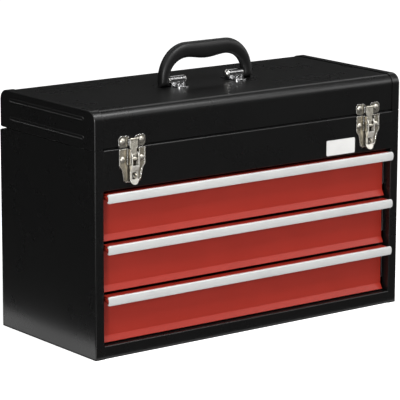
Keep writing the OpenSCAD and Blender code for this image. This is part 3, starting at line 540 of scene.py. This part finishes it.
PIN_STEEL = Metal("pin_steel", "pin_steel", linear(206, 205, 202), 0.16,
                  dull=linear(160, 157, 152))
HOOK_NICKEL = Metal("hook_nickel", "latch_nickel", linear(228, 223, 208), 0.26,
                    dull=linear(150, 143, 128), blotch=260.0, metallic=0.72, brushed=0.00004,
                    edge=0.0006, rim=1.0, hollow_shade=1.0)
# The lever's finish is a brighter, lit copy of the latch nickel: painted light.
LIT_LEVER_NICKEL = Metal("lit_lever_nickel", "latch_nickel", linear(244, 240, 230), 0.22,
                     dull=linear(150, 142, 132), blotch=200.0, metallic=0.62, edge=0.0006,
                     rim=1.0, hollow_shade=1.0)
KEEPER_NICKEL = Metal("keeper_nickel", "latch_nickel", linear(184, 179, 168), 0.22,
                      dull=linear(104, 99, 88), blotch=220.0, metallic=0.85, edge=0.0007,
                      rim=1.0, hollow_shade=1.0)
RIVET_NICKEL = Metal("rivet_nickel", "latch_nickel", linear(182, 178, 168), 0.34,
                     dull=linear(110, 105, 94), blotch=260.0, metallic=0.85, hollow_shade=1.0)
# The base's finish is a darker, shaded copy of the latch nickel: painted shade.
SHADED_BASE_NICKEL = Metal("latch_base", "latch_nickel", linear(190, 182, 164), 0.24,
                   dull=linear(108, 101, 86), blotch=160.0, metallic=0.75, edge=0.0007,
                   rim=1.0, hollow_shade=1.0, hollow_shade_reach=0.007)
LATCH_PIN = Metal("latch_pin", "latch_nickel", linear(96, 92, 84), 0.30,
                  dull=linear(50, 47, 41), blotch=160.0, hollow_shade=1.0)
BRACKET_CHROME = Metal("bracket_chrome", "latch_nickel", linear(196, 196, 197), 0.10,
                       dull=linear(120, 120, 120), blotch=260.0)
PLATE_WHITE = Plastic("plate_white", "plate_white", linear(222, 222, 220), 0.45,
                      grain=0.000005)
GRIP_BLACK = Plastic("grip_black", "grip_black", linear(18, 18, 18), 0.42, specular=0.30)


# Studio


def placed(name: str, data: bpy.types.ID) -> bpy.types.Object:
    """Puts a mesh, a lamp or a camera in the scene.

    Args:
        name: The object's name.
        data: What the object shows.

    Returns:
        The object.
    """
    thing = bpy.data.objects.new(name, data)
    bpy.context.scene.collection.objects.link(thing)
    return thing


@dataclass(frozen=True)
class Viewpoint:
    """The camera, as the photograph was taken.

    Args:
        azimuth: Turn about the upright axis, in degrees. 0 looks along +Y.
        elevation: Height of the view over the horizon, in degrees.
        roll: Turn of the picture, in degrees.
        distance: Distance from the camera to the target.
        target: The point in the middle of the picture.
        lens: Focal length, in millimetres.
    """

    azimuth: float = -37.09
    elevation: float = 12.28
    roll: float = 0.15
    distance: float = 3.321
    target: Point = (-0.0058, 0.0, 0.1599)
    lens: float = 219.69

    def build(self) -> None:
        """Sets up the camera and makes it the scene's own."""
        turn, lift = math.radians(self.azimuth), math.radians(self.elevation)
        level = math.cos(lift)
        back = Vector((math.sin(turn) * level, -math.cos(turn) * level, math.sin(lift)))
        tilt = Matrix.Rotation(math.radians(self.roll), 3, back)
        right = tilt @ Vector((0, 0, 1)).cross(back).normalized()
        axes = Matrix((right, back.cross(right), back)).transposed()
        stand = Matrix.Translation(
            [t + b * self.distance for t, b in zip(Vector(self.target), back)])
        data = bpy.data.cameras.new("photo_camera")
        data.sensor_width = SENSOR_WIDTH
        data.lens = self.lens
        data.clip_end = FAR_CLIP
        camera = placed("photo_camera", data)
        camera.matrix_world = stand @ axes.to_4x4()
        bpy.context.scene.camera = camera


@dataclass(frozen=True)
class Softbox:
    """One rectangular studio lamp.

    Args:
        name: The lamp's name.
        place: Where it hangs.
        aim: The point that it faces.
        size: Its width and height.
        power: Its power, in watts.
    """

    name: str
    place: Point
    aim: Point
    size: tuple[float, float]
    power: float

    def build(self) -> None:
        """Hangs the lamp."""
        data = bpy.data.lights.new(self.name, "AREA")
        data.shape = "RECTANGLE"
        data.size, data.size_y = self.size
        data.energy = self.power
        lamp = placed(self.name, data)
        lamp.location = self.place
        away = Vector(self.place) - Vector(self.aim)
        lamp.rotation_euler = away.to_track_quat("Z", "Y").to_euler()


@dataclass(frozen=True)
class ReflectionCard:
    """A flat black card that only mirror rays see: a painted dark reflection that casts no shadow.

    Args:
        name: The card's name.
        low: Its lowest corner.
        high: Its highest corner.
    """

    name: str
    low: Point
    high: Point

    def build(self, material: Material) -> None:
        """Stands the card up, or lays it down where it has no height.

        Args:
            material: What the card is covered with.
        """
        (x0, y0, z0), (x1, y1, z1) = self.low, self.high
        near, far = (y0, y1) if z0 == z1 else (y1, y0)
        mesh = bpy.data.meshes.new(self.name)
        mesh.from_pydata([(x0, y0, z0), (x1, near, z0), (x1, y1, z1), (x0, far, z1)], [],
                         [(0, 1, 2, 3)])
        mesh.materials.append(material)
        card = placed(self.name, mesh)
        card.visible_camera = card.visible_diffuse = card.visible_shadow = False


@dataclass(frozen=True)
class Studio:
    """A pale floor, a white background, soft lamps, and black cards that paint dark reflections.

    Args:
        floor_half: Half the floor's width.
        fill: Strength of the light that comes from all round.
        lamps: The soft lamps.
        cards: The black cards, which paint dark reflections.
    """

    floor_half: float = 6.0
    fill: float = 0.38
    lamps: tuple[Softbox, ...] = (
        Softbox("key_lamp", (-2.3, -1.75, 0.75), (0.0, 0.0, 0.15), (0.5, 0.5), 40.0),
        Softbox("top_lamp", (0.3, -1.3, 2.2), (0.0, 0.0, 0.2), (2.2, 0.8), 46.0),
        Softbox("side_lamp", (2.2, -1.6, 1.2), (0.0, 0.0, 0.15), (0.8, 1.2), 9.0),
    )
    cards: tuple[ReflectionCard, ...] = (
        ReflectionCard("card_back", (-2.6, 2.2, 0.0), (4.6, 2.2, 2.1)),
        ReflectionCard("card_top", (-1.6, 0.0, 3.0), (4.2, 1.5, 3.0)),
        ReflectionCard("card_lid_edge", (1.45, -1.6, 2.4), (3.2, -0.1, 2.4)),
        ReflectionCard("card_left", (-2.6, -0.6, 0.0), (-2.6, 2.2, 1.6)),
        ReflectionCard("card_front", (0.2, -3.2, 0.0), (4.6, -3.2, 1.5)),
        ReflectionCard("card_floor_corner", (-1.1, -0.95, FLOOR_CARD), (-0.26, -0.3, FLOOR_CARD)),
        ReflectionCard("card_floor_left", (-2.6, -0.3, FLOOR_CARD), (-0.30, 2.2, FLOOR_CARD)),
        ReflectionCard("card_floor_front", (-0.26, -3.2, FLOOR_CARD), (4.6, -0.113, FLOOR_CARD)),
    )

    def build(self) -> None:
        """Builds the studio round the chest."""
        Viewpoint().build()
        for lamp in self.lamps:
            lamp.build()
        self._world()
        self._floor()
        black = bpy.data.materials.new("card")
        black.use_nodes = True
        Graph(black.node_tree).feed(
            black.node_tree.nodes["Principled BSDF"], Base_Color=REFLECTION_BLACK, Roughness=1.0)
        for card in self.cards:
            card.build(black)
        bpy.context.scene.view_settings.view_transform = "Standard"
        log.info("studio: %d lamps and %d cards", len(self.lamps), len(self.cards))

    def _shown(self, graph: Graph) -> Socket:
        """Says which rays see the plain background.

        Args:
            graph: The node tree of the world or of the floor.

        Returns:
            1 for camera, mirror and glass rays, and 0 for the rest.
        """
        path = graph.add("ShaderNodeLightPath").outputs
        mirror = graph.math("MAXIMUM", path["Is Glossy Ray"], path["Is Transmission Ray"])
        return graph.math("MAXIMUM", path["Is Camera Ray"], mirror)

    def _world(self) -> None:
        """Makes the background white where it is seen, and a soft grey light elsewhere."""
        world = bpy.data.worlds.new("studio")
        graph = cleared(world)
        strength = graph.between(self._shown(graph), (0.0, 1.0), (self.fill, 1.0))
        light = graph.feed(graph.add("ShaderNodeBackground"), Color=WHITE, Strength=strength)
        graph.feed(graph.add("ShaderNodeOutputWorld"), Surface=light.outputs["Background"])
        bpy.context.scene.world = world

    def _floor(self) -> None:
        """Lays the floor: white to the camera with the chest's soft shadow on it."""
        half = self.floor_half
        mesh = bpy.data.meshes.new("floor")
        mesh.from_pydata([(-half, -half, 0), (half, -half, 0), (half, half, 0), (-half, half, 0)],
                         [], [(0, 1, 2, 3)])
        material = bpy.data.materials.new("floor")
        graph = cleared(material)
        matt = graph.feed(graph.add("ShaderNodeBsdfDiffuse"), Color=FLOOR_GREY)
        glow = graph.feed(graph.add("ShaderNodeEmission"), Color=WHITE,
                          Strength=graph.math("MULTIPLY", self._shown(graph), FLOOR_GLOW))
        both = graph.feed(graph.add("ShaderNodeAddShader"), (0, matt.outputs[0]),
                          (1, glow.outputs[0]))
        graph.feed(graph.add("ShaderNodeOutputMaterial"), Surface=both.outputs[0])
        mesh.materials.append(material)
        floor = placed("floor", mesh)


# Modelling in place of a CAD node


def rounded(corners: list[Corner], steps: int = 5) -> list[Flat]:
    """Draws the middle line of a folded sheet.

    Args:
        corners: Its corners from end to end.
        steps: Pieces in a bend.

    Returns:
        The points along the line.
    """
    line: list[Flat] = [corners[0][:2]]
    for before, corner, after in zip(corners, corners[1:], corners[2:]):
        middle, radius = Vector(corner[:2]), corner[2]
        back, ahead = (Vector(p[:2]) - middle for p in (before, after))
        half = back.angle(ahead) / 2
        back, ahead = back.normalized(), ahead.normalized()
        reach = radius / math.tan(half)
        start, end = middle + back * reach, middle + ahead * reach
        centre = middle + (back + ahead).normalized() * (radius / math.sin(half))
        for k in range(steps + 1):
            arm = (start - centre).slerp(end - centre, k / steps).normalized() * radius
            line.append(tuple(centre + arm))
    line.append(corners[-1][:2])
    return line


def thickened(line: list[Flat], thick: float) -> list[Flat]:
    """Gives a line the thickness of a sheet.

    Args:
        line: The sheet's middle line.
        thick: The sheet's thickness.

    Returns:
        The closed outline, in order.
    """
    one, other = [], []
    points = [Vector(p) for p in line]
    for k, point in enumerate(points):
        before = (point - points[k - 1]).normalized() if k else (points[1] - point).normalized()
        after = (points[k + 1] - point).normalized() if k < len(points) - 1 else before
        way = (before + after).normalized()
        out = Vector((-way.y, way.x)) * (thick / 2 / max(way.dot(before), 0.5))
        one.append(tuple(point + out))
        other.append(tuple(point - out))
    return one + other[::-1]


def skinned(form: bmesh.types.BMesh, rows: list[list[Vector]]) -> None:
    """Joins closed outlines one after another, and closes both ends.

    Args:
        form: The mesh that takes the faces.
        rows: The outlines, each with as many points as the last.
    """
    made = [[form.verts.new(point) for point in row] for row in rows]
    count = len(rows[0])
    for row, after in zip(made, made[1:]):
        for n in range(count):
            form.faces.new((row[n], row[(n + 1) % count], after[(n + 1) % count], after[n]))
    form.faces.new(made[0][::-1])
    form.faces.new(made[-1])


def finished(form: bmesh.types.BMesh, name: str, body: str, finish: Finish, stands_for: str,
             sharp: float = 40.0) -> None:
    """Puts a modelled piece in the scene in place of a CAD node.

    Args:
        form: Its faces, where they are in the frame. They are used up.
        name: The piece's name.
        body: The body that it rides on.
        finish: What it is made of.
        stands_for: The CAD node that it replaces.
        sharp: Angle from which an edge stays sharp, in degrees. 0 leaves the faces flat.
    """
    bmesh.ops.recalc_face_normals(form, faces=form.faces)
    for face in form.faces:
        face.smooth = True
    mesh = bpy.data.meshes.new(name)
    form.to_mesh(mesh)
    form.free()
    mesh.set_sharp_from_angle(angle=math.radians(sharp))
    mesh.materials.append(finish.material())
    piece = placed(name, mesh)
    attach(piece, body)
    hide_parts(stands_for)


# The chest


class Side(Enum):
    """The two sides of the chest, seen from the front."""

    LEFT = "left"
    RIGHT = "right"


@dataclass
class SubAssembly:
    """Parts of the chest that are made and finished together.

    Args:
        title: What the maker calls them.
        finishes: The finish of each part, by the node's name or the start of it.
    """

    title: str = "parts"
    finishes: dict[str, Finish] = field(default_factory=dict)

    def build(self) -> None:
        """Models the pieces that the CAD nodes are too plain for. By itself it models none."""

    def dress(self) -> None:
        """Puts its finish on each CAD node of the sub-assembly."""
        dressed = 0
        for start, finish in self.finishes.items():
            for name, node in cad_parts.items():
                if name.startswith(start):
                    node.data.materials.clear()
                    node.data.materials.append(finish.material())
                    dressed += 1
        log.info("%s: %d parts", self.title, dressed)


@dataclass
class Case(SubAssembly):
    """The steel case: two sides, back, bottom pan, header, tray and slide uprights."""

    title: str = "case"
    finishes: dict[str, Finish] = field(default_factory=lambda: {
        "case_": CASE_BLACK, "tray_floor": CASE_BLACK, "uprights_": BOX_BLACK})


@dataclass
class Lid(SubAssembly):
    """The lid: a skin folded over the top between two pressed end caps."""

    title: str = "lid"
    finishes: dict[str, Finish] = field(default_factory=lambda: {"lid_": CASE_BLACK})


@dataclass
class Hinge(SubAssembly):
    """The piano hinge along the back, with its pin and rivets."""

    title: str = "hinge"
    finishes: dict[str, Finish] = field(default_factory=lambda: {
        "hinge_case_": HINGE_BLACK, "hinge_lid_": HINGE_BLACK, "hinge_pin": PIN_STEEL})


@dataclass
class Drawer(SubAssembly):
    """A drawer: its tray, red front and bright pull.

    Args:
        number: The drawer's number, from the lowest up.
        sheet: Thickness of the front and of the pull.
        lip_drop: How far the top of the lip lies under the CAD front's.
        foot_drop: How far the bottom of the pull lies under the CAD pull's.
        lip_rise: How far the underside of the lip rises towards the face.
        hem: How far the sheet goes on behind the face inside the lip.
        flare_out: How far the foot of the front flares out.
        flare_rise: Height of the flare.
        wider: How much further it reaches at each side than the CAD front.
        bend: Radius of the front's bends. The flare's is twice that.
        lip_gap: Gap between the lip and the back of the pull.
        lip_soft: Radius of the pressed end's corners.
        end_inset: How far the pressed end lies inside the end of the sheet.
        end_rings: How far each ring of the pressed end is drawn in, and stands out in domes.
        dome: How far the pressed end of the lip bulges.
        hook: Depth of the pull's hooks over the lip.
        pull_bend: Radius of the pull's upper and lower bends.
        pull_round: Radius of the pull's face along its middle.
        crown: How far the pull's face bulges.
        pull_corner: Radius of the pull's corners, seen from the front.
        corner_steps: Pieces in such a corner.
    """

    number: int = 1
    sheet: float = 0.001
    lip_drop: float = 0.0012
    foot_drop: float = 0.0002
    lip_rise: float = 0.0045
    hem: float = 0.0015
    flare_out: float = 0.0045
    flare_rise: float = 0.0085
    wider: float = 0.0022
    bend: float = 0.0016
    lip_gap: float = 0.0002
    lip_soft: float = 0.0018
    end_inset: float = 0.0006
    end_rings: tuple[tuple[float, float], ...] = (
        (0.0, -2.2), (0.0, -0.4), (0.06, 0.0), (0.22, 0.6), (0.5, 0.95), (0.8, 1.0))
    dome: float = 0.0016
    hook: float = 0.0016
    pull_bend: float = 0.0012
    pull_round: float = 0.02
    crown: float = 0.0005
    pull_corner: float = 0.0022
    corner_steps: int = 4

    def __post_init__(self) -> None:
        """Works out the drawer's title and its parts' names."""
        self.title = f"drawer {self.number}"
        self.finishes = {f"drawer_{part}_{self.number}": finish for part, finish in (
            ("box", BOX_BLACK), ("front", FRONT_RED), ("pull", PULL_SILVER))}

    def build(self) -> None:
        """Models the folded front with its pressed lip ends, and the rolled pull on the lip."""
        front_low, front_high = (Vector(corner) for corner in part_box(f"drawer_front_{self.number}"))
        pull_low, pull_high = (Vector(corner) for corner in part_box(f"drawer_pull_{self.number}"))
        top, foot = front_high.z - self.lip_drop, pull_low.z - self.foot_drop + self.sheet
        nose = pull_low.y + self.sheet + self.crown + self.lip_gap
        self._front(front_low, front_high, top, foot, nose)
        self._pull(pull_low, pull_high, top + self.sheet, foot - self.sheet, nose)
        log.info("%s: front and pull modelled", self.title)

    def _front(self, low: Vector, high: Vector, top: float, foot: float, nose: float) -> None:
        """Models the front as one folded sheet, and closes the ends of its lip.

        Args:
            low: The CAD front's lowest corner.
            high: Its highest corner.
            top: Height of the top of the lip.
            foot: Height of the bottom of the lip.
            nose: Depth of the front of the lip.
        """
        half, sheet = self.sheet / 2, self.sheet
        face, nose, under, over = high.y - half, nose + half, foot + half, top - half
        fold = under + self.lip_rise
        reach = high.x + self.wider
        line = rounded([
            (face, fold + self.hem, 0.0), (face, over, self.bend), (nose, over, self.bend),
            (nose, under, self.bend), (face, fold, self.bend),
            (face, low.z + self.flare_rise, 2 * self.bend),
            (face - self.flare_out, low.z + half, 0.0)])
        outline = thickened(line, sheet)
        form = bmesh.new()
        skinned(form, [[Vector((x, y, z)) for y, z in outline] for x in (-reach, reach)])
        lip = rounded([
            (face - sheet, over - sheet, 0.0), (nose + sheet, over - sheet, self.lip_soft),
            (nose + sheet, under + sheet, self.lip_soft), (face - sheet, fold + sheet, 0.0)])
        middle = Vector((sum(y for y, _ in lip), sum(z for _, z in lip))) / len(lip)
        for side in (-1, 1):
            rows = []
            for inset, proud in self.end_rings:
                x = side * (reach - self.end_inset + proud * self.dome)
                rows.append([Vector((x, *(Vector(p) + (middle - Vector(p)) * inset))) for p in lip])
            skinned(form, rows)
        finished(form, f"folded_front_{self.number}", f"drawer_{self.number}", FRONT_RED,
                 f"drawer_front_{self.number}")

    def _pull(self, low: Vector, high: Vector, top: float, foot: float, nose: float) -> None:
        """Models the pull as a rolled channel with rounded corners.

        Args:
            low: The CAD pull's lowest corner.
            high: Its highest corner.
            top: Height of its top.
            foot: Height of its bottom.
            nose: Depth of the front of the lip.
        """
        half, middle, tall = self.sheet / 2, (top + foot) / 2, (top - foot) / 2
        back, front = nose + self.hook, low.y + half
        outline = thickened(rounded([
            (back, top - half, 0.0), (front + self.crown, top - half, self.pull_bend),
            (front, middle, self.pull_round), (front + self.crown, foot + half, self.pull_bend),
            (back, foot + half, 0.0)]), self.sheet)
        corner = []
        for k in range(self.corner_steps + 1):
            a = math.radians(90 * k / self.corner_steps)
            corner.append((high.x - self.pull_corner * (1 - math.cos(a)),
                           1 - self.pull_corner * (1 - math.sin(a)) / tall))
        ends = [(-x, squeeze) for x, squeeze in corner] + corner[::-1]
        form = bmesh.new()
        skinned(form, [[Vector((x, y, middle + (z - middle) * squeeze)) for y, z in outline]
                       for x, squeeze in ends])
        finished(form, f"rolled_pull_{self.number}", f"drawer_{self.number}", PULL_SILVER,
                 f"drawer_pull_{self.number}")


@dataclass
class Slides(SubAssembly):
    """The ball slides of a drawer: runners in the case, members on the drawer, and cages.

    Args:
        number: The number of the drawer that they carry.
    """

    number: int = 1

    def __post_init__(self) -> None:
        """Works out the slides' title and their parts' names."""
        self.title = f"slides {self.number}"
        self.finishes = {f"{start}_{self.number}": finish for start, finish in (
            ("runner_left", SLIDE_ZINC), ("runner_right", SLIDE_ZINC),
            ("drawer_members", SLIDE_ZINC), ("ball_cages", CAGE_STEEL))}


@dataclass
class Latch(SubAssembly):
    """A draw latch: base, lever, hook plate and the keeper on the lid.

    Args:
        side: The side that it is on.
    """

    side: Side = Side.LEFT

    def __post_init__(self) -> None:
        """Works out the latch's title and its parts' names."""
        self.title = f"{self.side.value} latch"
        self.finishes = {f"{start}_{self.side.value}": finish for start, finish in (
            ("latch_base", SHADED_BASE_NICKEL), ("latch_lever", LIT_LEVER_NICKEL),
            ("latch_hook", HOOK_NICKEL), ("latch_pin", LATCH_PIN), ("keeper", KEEPER_NICKEL))}


@dataclass
class LatchFixings(SubAssembly):
    """The rivets and pivots that hold both latches."""

    title: str = "latch fixings"
    finishes: dict[str, Finish] = field(default_factory=lambda: {
        "latch_base_rivets": RIVET_NICKEL, "latch_pivot_stubs": PIN_STEEL,
        "keeper_rivets": RIVET_NICKEL})


@dataclass(frozen=True)
class Station:
    """One cross-section of the grip.

    Args:
        x: Distance from the middle of the chest.
        rise: Height over the pivot.
        turn: Direction in which the section is thick, in degrees from +X.
        thick: Half its thickness.
        deep: Half its depth.
    """

    x: float
    rise: float
    turn: float
    thick: float
    deep: float


@dataclass
class Handle(SubAssembly):
    """The folding handle: a moulded grip on two stubs, and its brackets on the lid.

    Args:
        span: Distance between the middle lines of the legs.
        top: Height of the middle of the grip over the pivot.
        bend: Radius of the bends.
        leg_thick: Half the thickness of a leg.
        leg_deep: Half the depth of a leg.
        grip_thick: Half the thickness of the grip at its ends.
        grip_deep: Half the depth of the grip.
        belly: How much thicker the grip is in the middle.
        tip: Depth of the foot's last section, where the leg's is 1.
        fullness: Power of the section, fuller than an ellipse under 1.
        seam: Height of the line that the mould leaves.
        seam_width: Angle over which the mould line falls away, in degrees.
        sides: Points round a section.
        steps: Sections in the foot, the bend and half the grip.
    """

    title: str = "handle"
    span: float = 0.1394
    top: float = 0.039
    bend: float = 0.0376
    leg_thick: float = 0.0072
    leg_deep: float = 0.0076
    grip_thick: float = 0.0106
    grip_deep: float = 0.0084
    belly: float = 0.0032
    tip: float = 0.02
    fullness: float = 0.8
    seam: float = 0.00018
    seam_width: float = 2.2
    sides: int = 44
    steps: tuple[int, int, int] = (9, 22, 16)
    finishes: dict[str, Finish] = field(default_factory=lambda: {
        "handle_bracket_": BRACKET_CHROME, "bracket_rivets": BRACKET_CHROME,
        "handle_stubs": PIN_STEEL, "handle_grip": GRIP_BLACK})

    def build(self) -> None:
        """Models the grip as one smooth moulding with its mould line."""
        low, high = (Vector(corner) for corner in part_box("handle_stubs"))
        rings = [self._ring(station, (low + high) / 2) for station in self._stations()]
        form = bmesh.new()
        skinned(form, rings)
        finished(form, "moulded_grip", "handle", GRIP_BLACK, "handle_grip", sharp=180.0)
        log.info("grip: %d sections of %d points", len(rings), len(rings[0]))

    def _ease(self, share: float) -> float:
        """Goes gently from 0 to 1 as a share does."""
        return (1 - math.cos(math.pi * share)) / 2

    def _stations(self) -> list[Station]:
        """Lists the grip's cross-sections from foot to foot.

        Returns:
            The sections.
        """
        foot, bend, grip = self.steps
        bend_x, bend_rise = self.span / 2 - self.bend, self.top - self.bend
        half: list[Station] = []
        for k in range(foot):
            a = math.radians(-90 + 90 * k / foot)
            half.append(Station(self.span / 2, self.leg_deep * math.sin(a), 0.0, self.leg_thick,
                                self.leg_deep * max(math.cos(a), self.tip)))
        for k in range(bend + 1):
            a, share = math.pi / 2 * k / bend, self._ease(k / bend)
            half.append(Station(
                bend_x + self.bend * math.cos(a), bend_rise + self.bend * math.sin(a),
                math.degrees(a), self.leg_thick + (self.grip_thick - self.leg_thick) * share,
                self.leg_deep + (self.grip_deep - self.leg_deep) * share))
        for k in range(1, grip + 1):
            drop = self.belly / 2 * self._ease(k / grip)
            half.append(Station(bend_x * (1 - k / grip), bend_rise + self.bend - drop, 90.0,
                                self.grip_thick + drop, self.grip_deep))
        return half + [Station(-s.x, s.rise, 180 - s.turn, s.thick, s.deep) for s in half[-2::-1]]

    def _ring(self, station: Station, pivot: Vector) -> list[Vector]:
        """Lays the points round one cross-section, with the mould line on both edges.

        Args:
            station: The section.
            pivot: The middle of the handle's pivots.

        Returns:
            The points in order.
        """
        angles = [(360 * n / self.sides, 0.0) for n in range(self.sides) if n % (self.sides // 2)]
        for edge in (0, 180):
            angles += [(edge - self.seam_width, 0.0), (edge, self.seam),
                       (edge + self.seam_width, 0.0)]
        turn = math.radians(station.turn)
        ring = []
        for angle, proud in sorted((a % 360, p) for a, p in angles):
            c, s = math.cos(math.radians(angle)), math.sin(math.radians(angle))
            thick = abs(c) ** self.fullness * (station.thick - self.seam) + proud
            across = math.copysign(thick, c)
            deep = math.copysign(abs(s) ** self.fullness * station.deep, s)
            ring.append(pivot + Vector((station.x + across * math.cos(turn), deep,
                                        station.rise + across * math.sin(turn))))
        return ring


@dataclass
class NamePlate(SubAssembly):
    """The bare plate on the header, with rounded corners and a low rolled rim.

    Args:
        corner: Radius of its corners.
        least: Least radius of a corner, where the outline is drawn in.
        soft: Width of the softened edge, as a share of the thickness.
        rim: Width of the rim.
        sunk: How far the field inside the rim lies lower.
        arc: Pieces in a rounded corner.
    """

    title: str = "name plate"
    corner: float = 0.0016
    least: float = 0.0002
    soft: float = 0.3
    rim: float = 0.0007
    sunk: float = 0.00012
    arc: int = 6
    finishes: dict[str, Finish] = field(default_factory=lambda: {"name_plate": PLATE_WHITE})

    def build(self) -> None:
        """Models the plate from rounded outlines, from the header outwards."""
        low, high = (Vector(corner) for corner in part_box("name_plate"))
        soft = self.soft * (high.y - low.y)
        levels = ((high.y, 0.0), (low.y + soft, 0.0), (low.y, soft), (low.y, self.rim),
                  (low.y + self.sunk, self.rim + self.sunk))
        form = bmesh.new()
        skinned(form, [self._outline(low, high, y, inset) for y, inset in levels])
        finished(form, "bare_plate", "case", PLATE_WHITE, "name_plate", sharp=0.0)

    def _outline(self, low: Vector, high: Vector, y: float, inset: float) -> list[Vector]:
        """Draws the plate's outline at one depth.

        Args:
            low: The plate's lowest corner.
            high: Its highest corner.
            y: The depth.
            inset: How far the outline is drawn in.

        Returns:
            The points in order.
        """
        radius = max(self.corner - inset, self.least)
        back = inset + radius
        left, right, foot, top = low.x + back, high.x - back, low.z + back, high.z - back
        points = []
        for turn, x, z in ((0, right, top), (90, left, top), (180, left, foot), (270, right, foot)):
            for k in range(self.arc + 1):
                a = math.radians(turn + 90 * k / self.arc)
                arm = Vector((radius * math.cos(a), 0, radius * math.sin(a)))
                points.append(Vector((x, y, z)) + arm)
        return points


def main() -> None:
    """Builds the studio, then models and dresses the chest from the case outwards."""
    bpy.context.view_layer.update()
    Studio().build()
    chest: list[SubAssembly] = [Case(), Lid(), Hinge()]
    chest += [Slides(number=n) for n in (1, 2, 3)]
    chest += [Drawer(number=n) for n in (1, 2, 3)]
    chest += [Latch(side=side) for side in Side]
    chest += [LatchFixings(), Handle(), NamePlate()]
    for part in chest:
        part.build()
        part.dress()


if __name__ == "__main__":
    logging.basicConfig(level=logging.INFO, format="%(message)s")
    main()
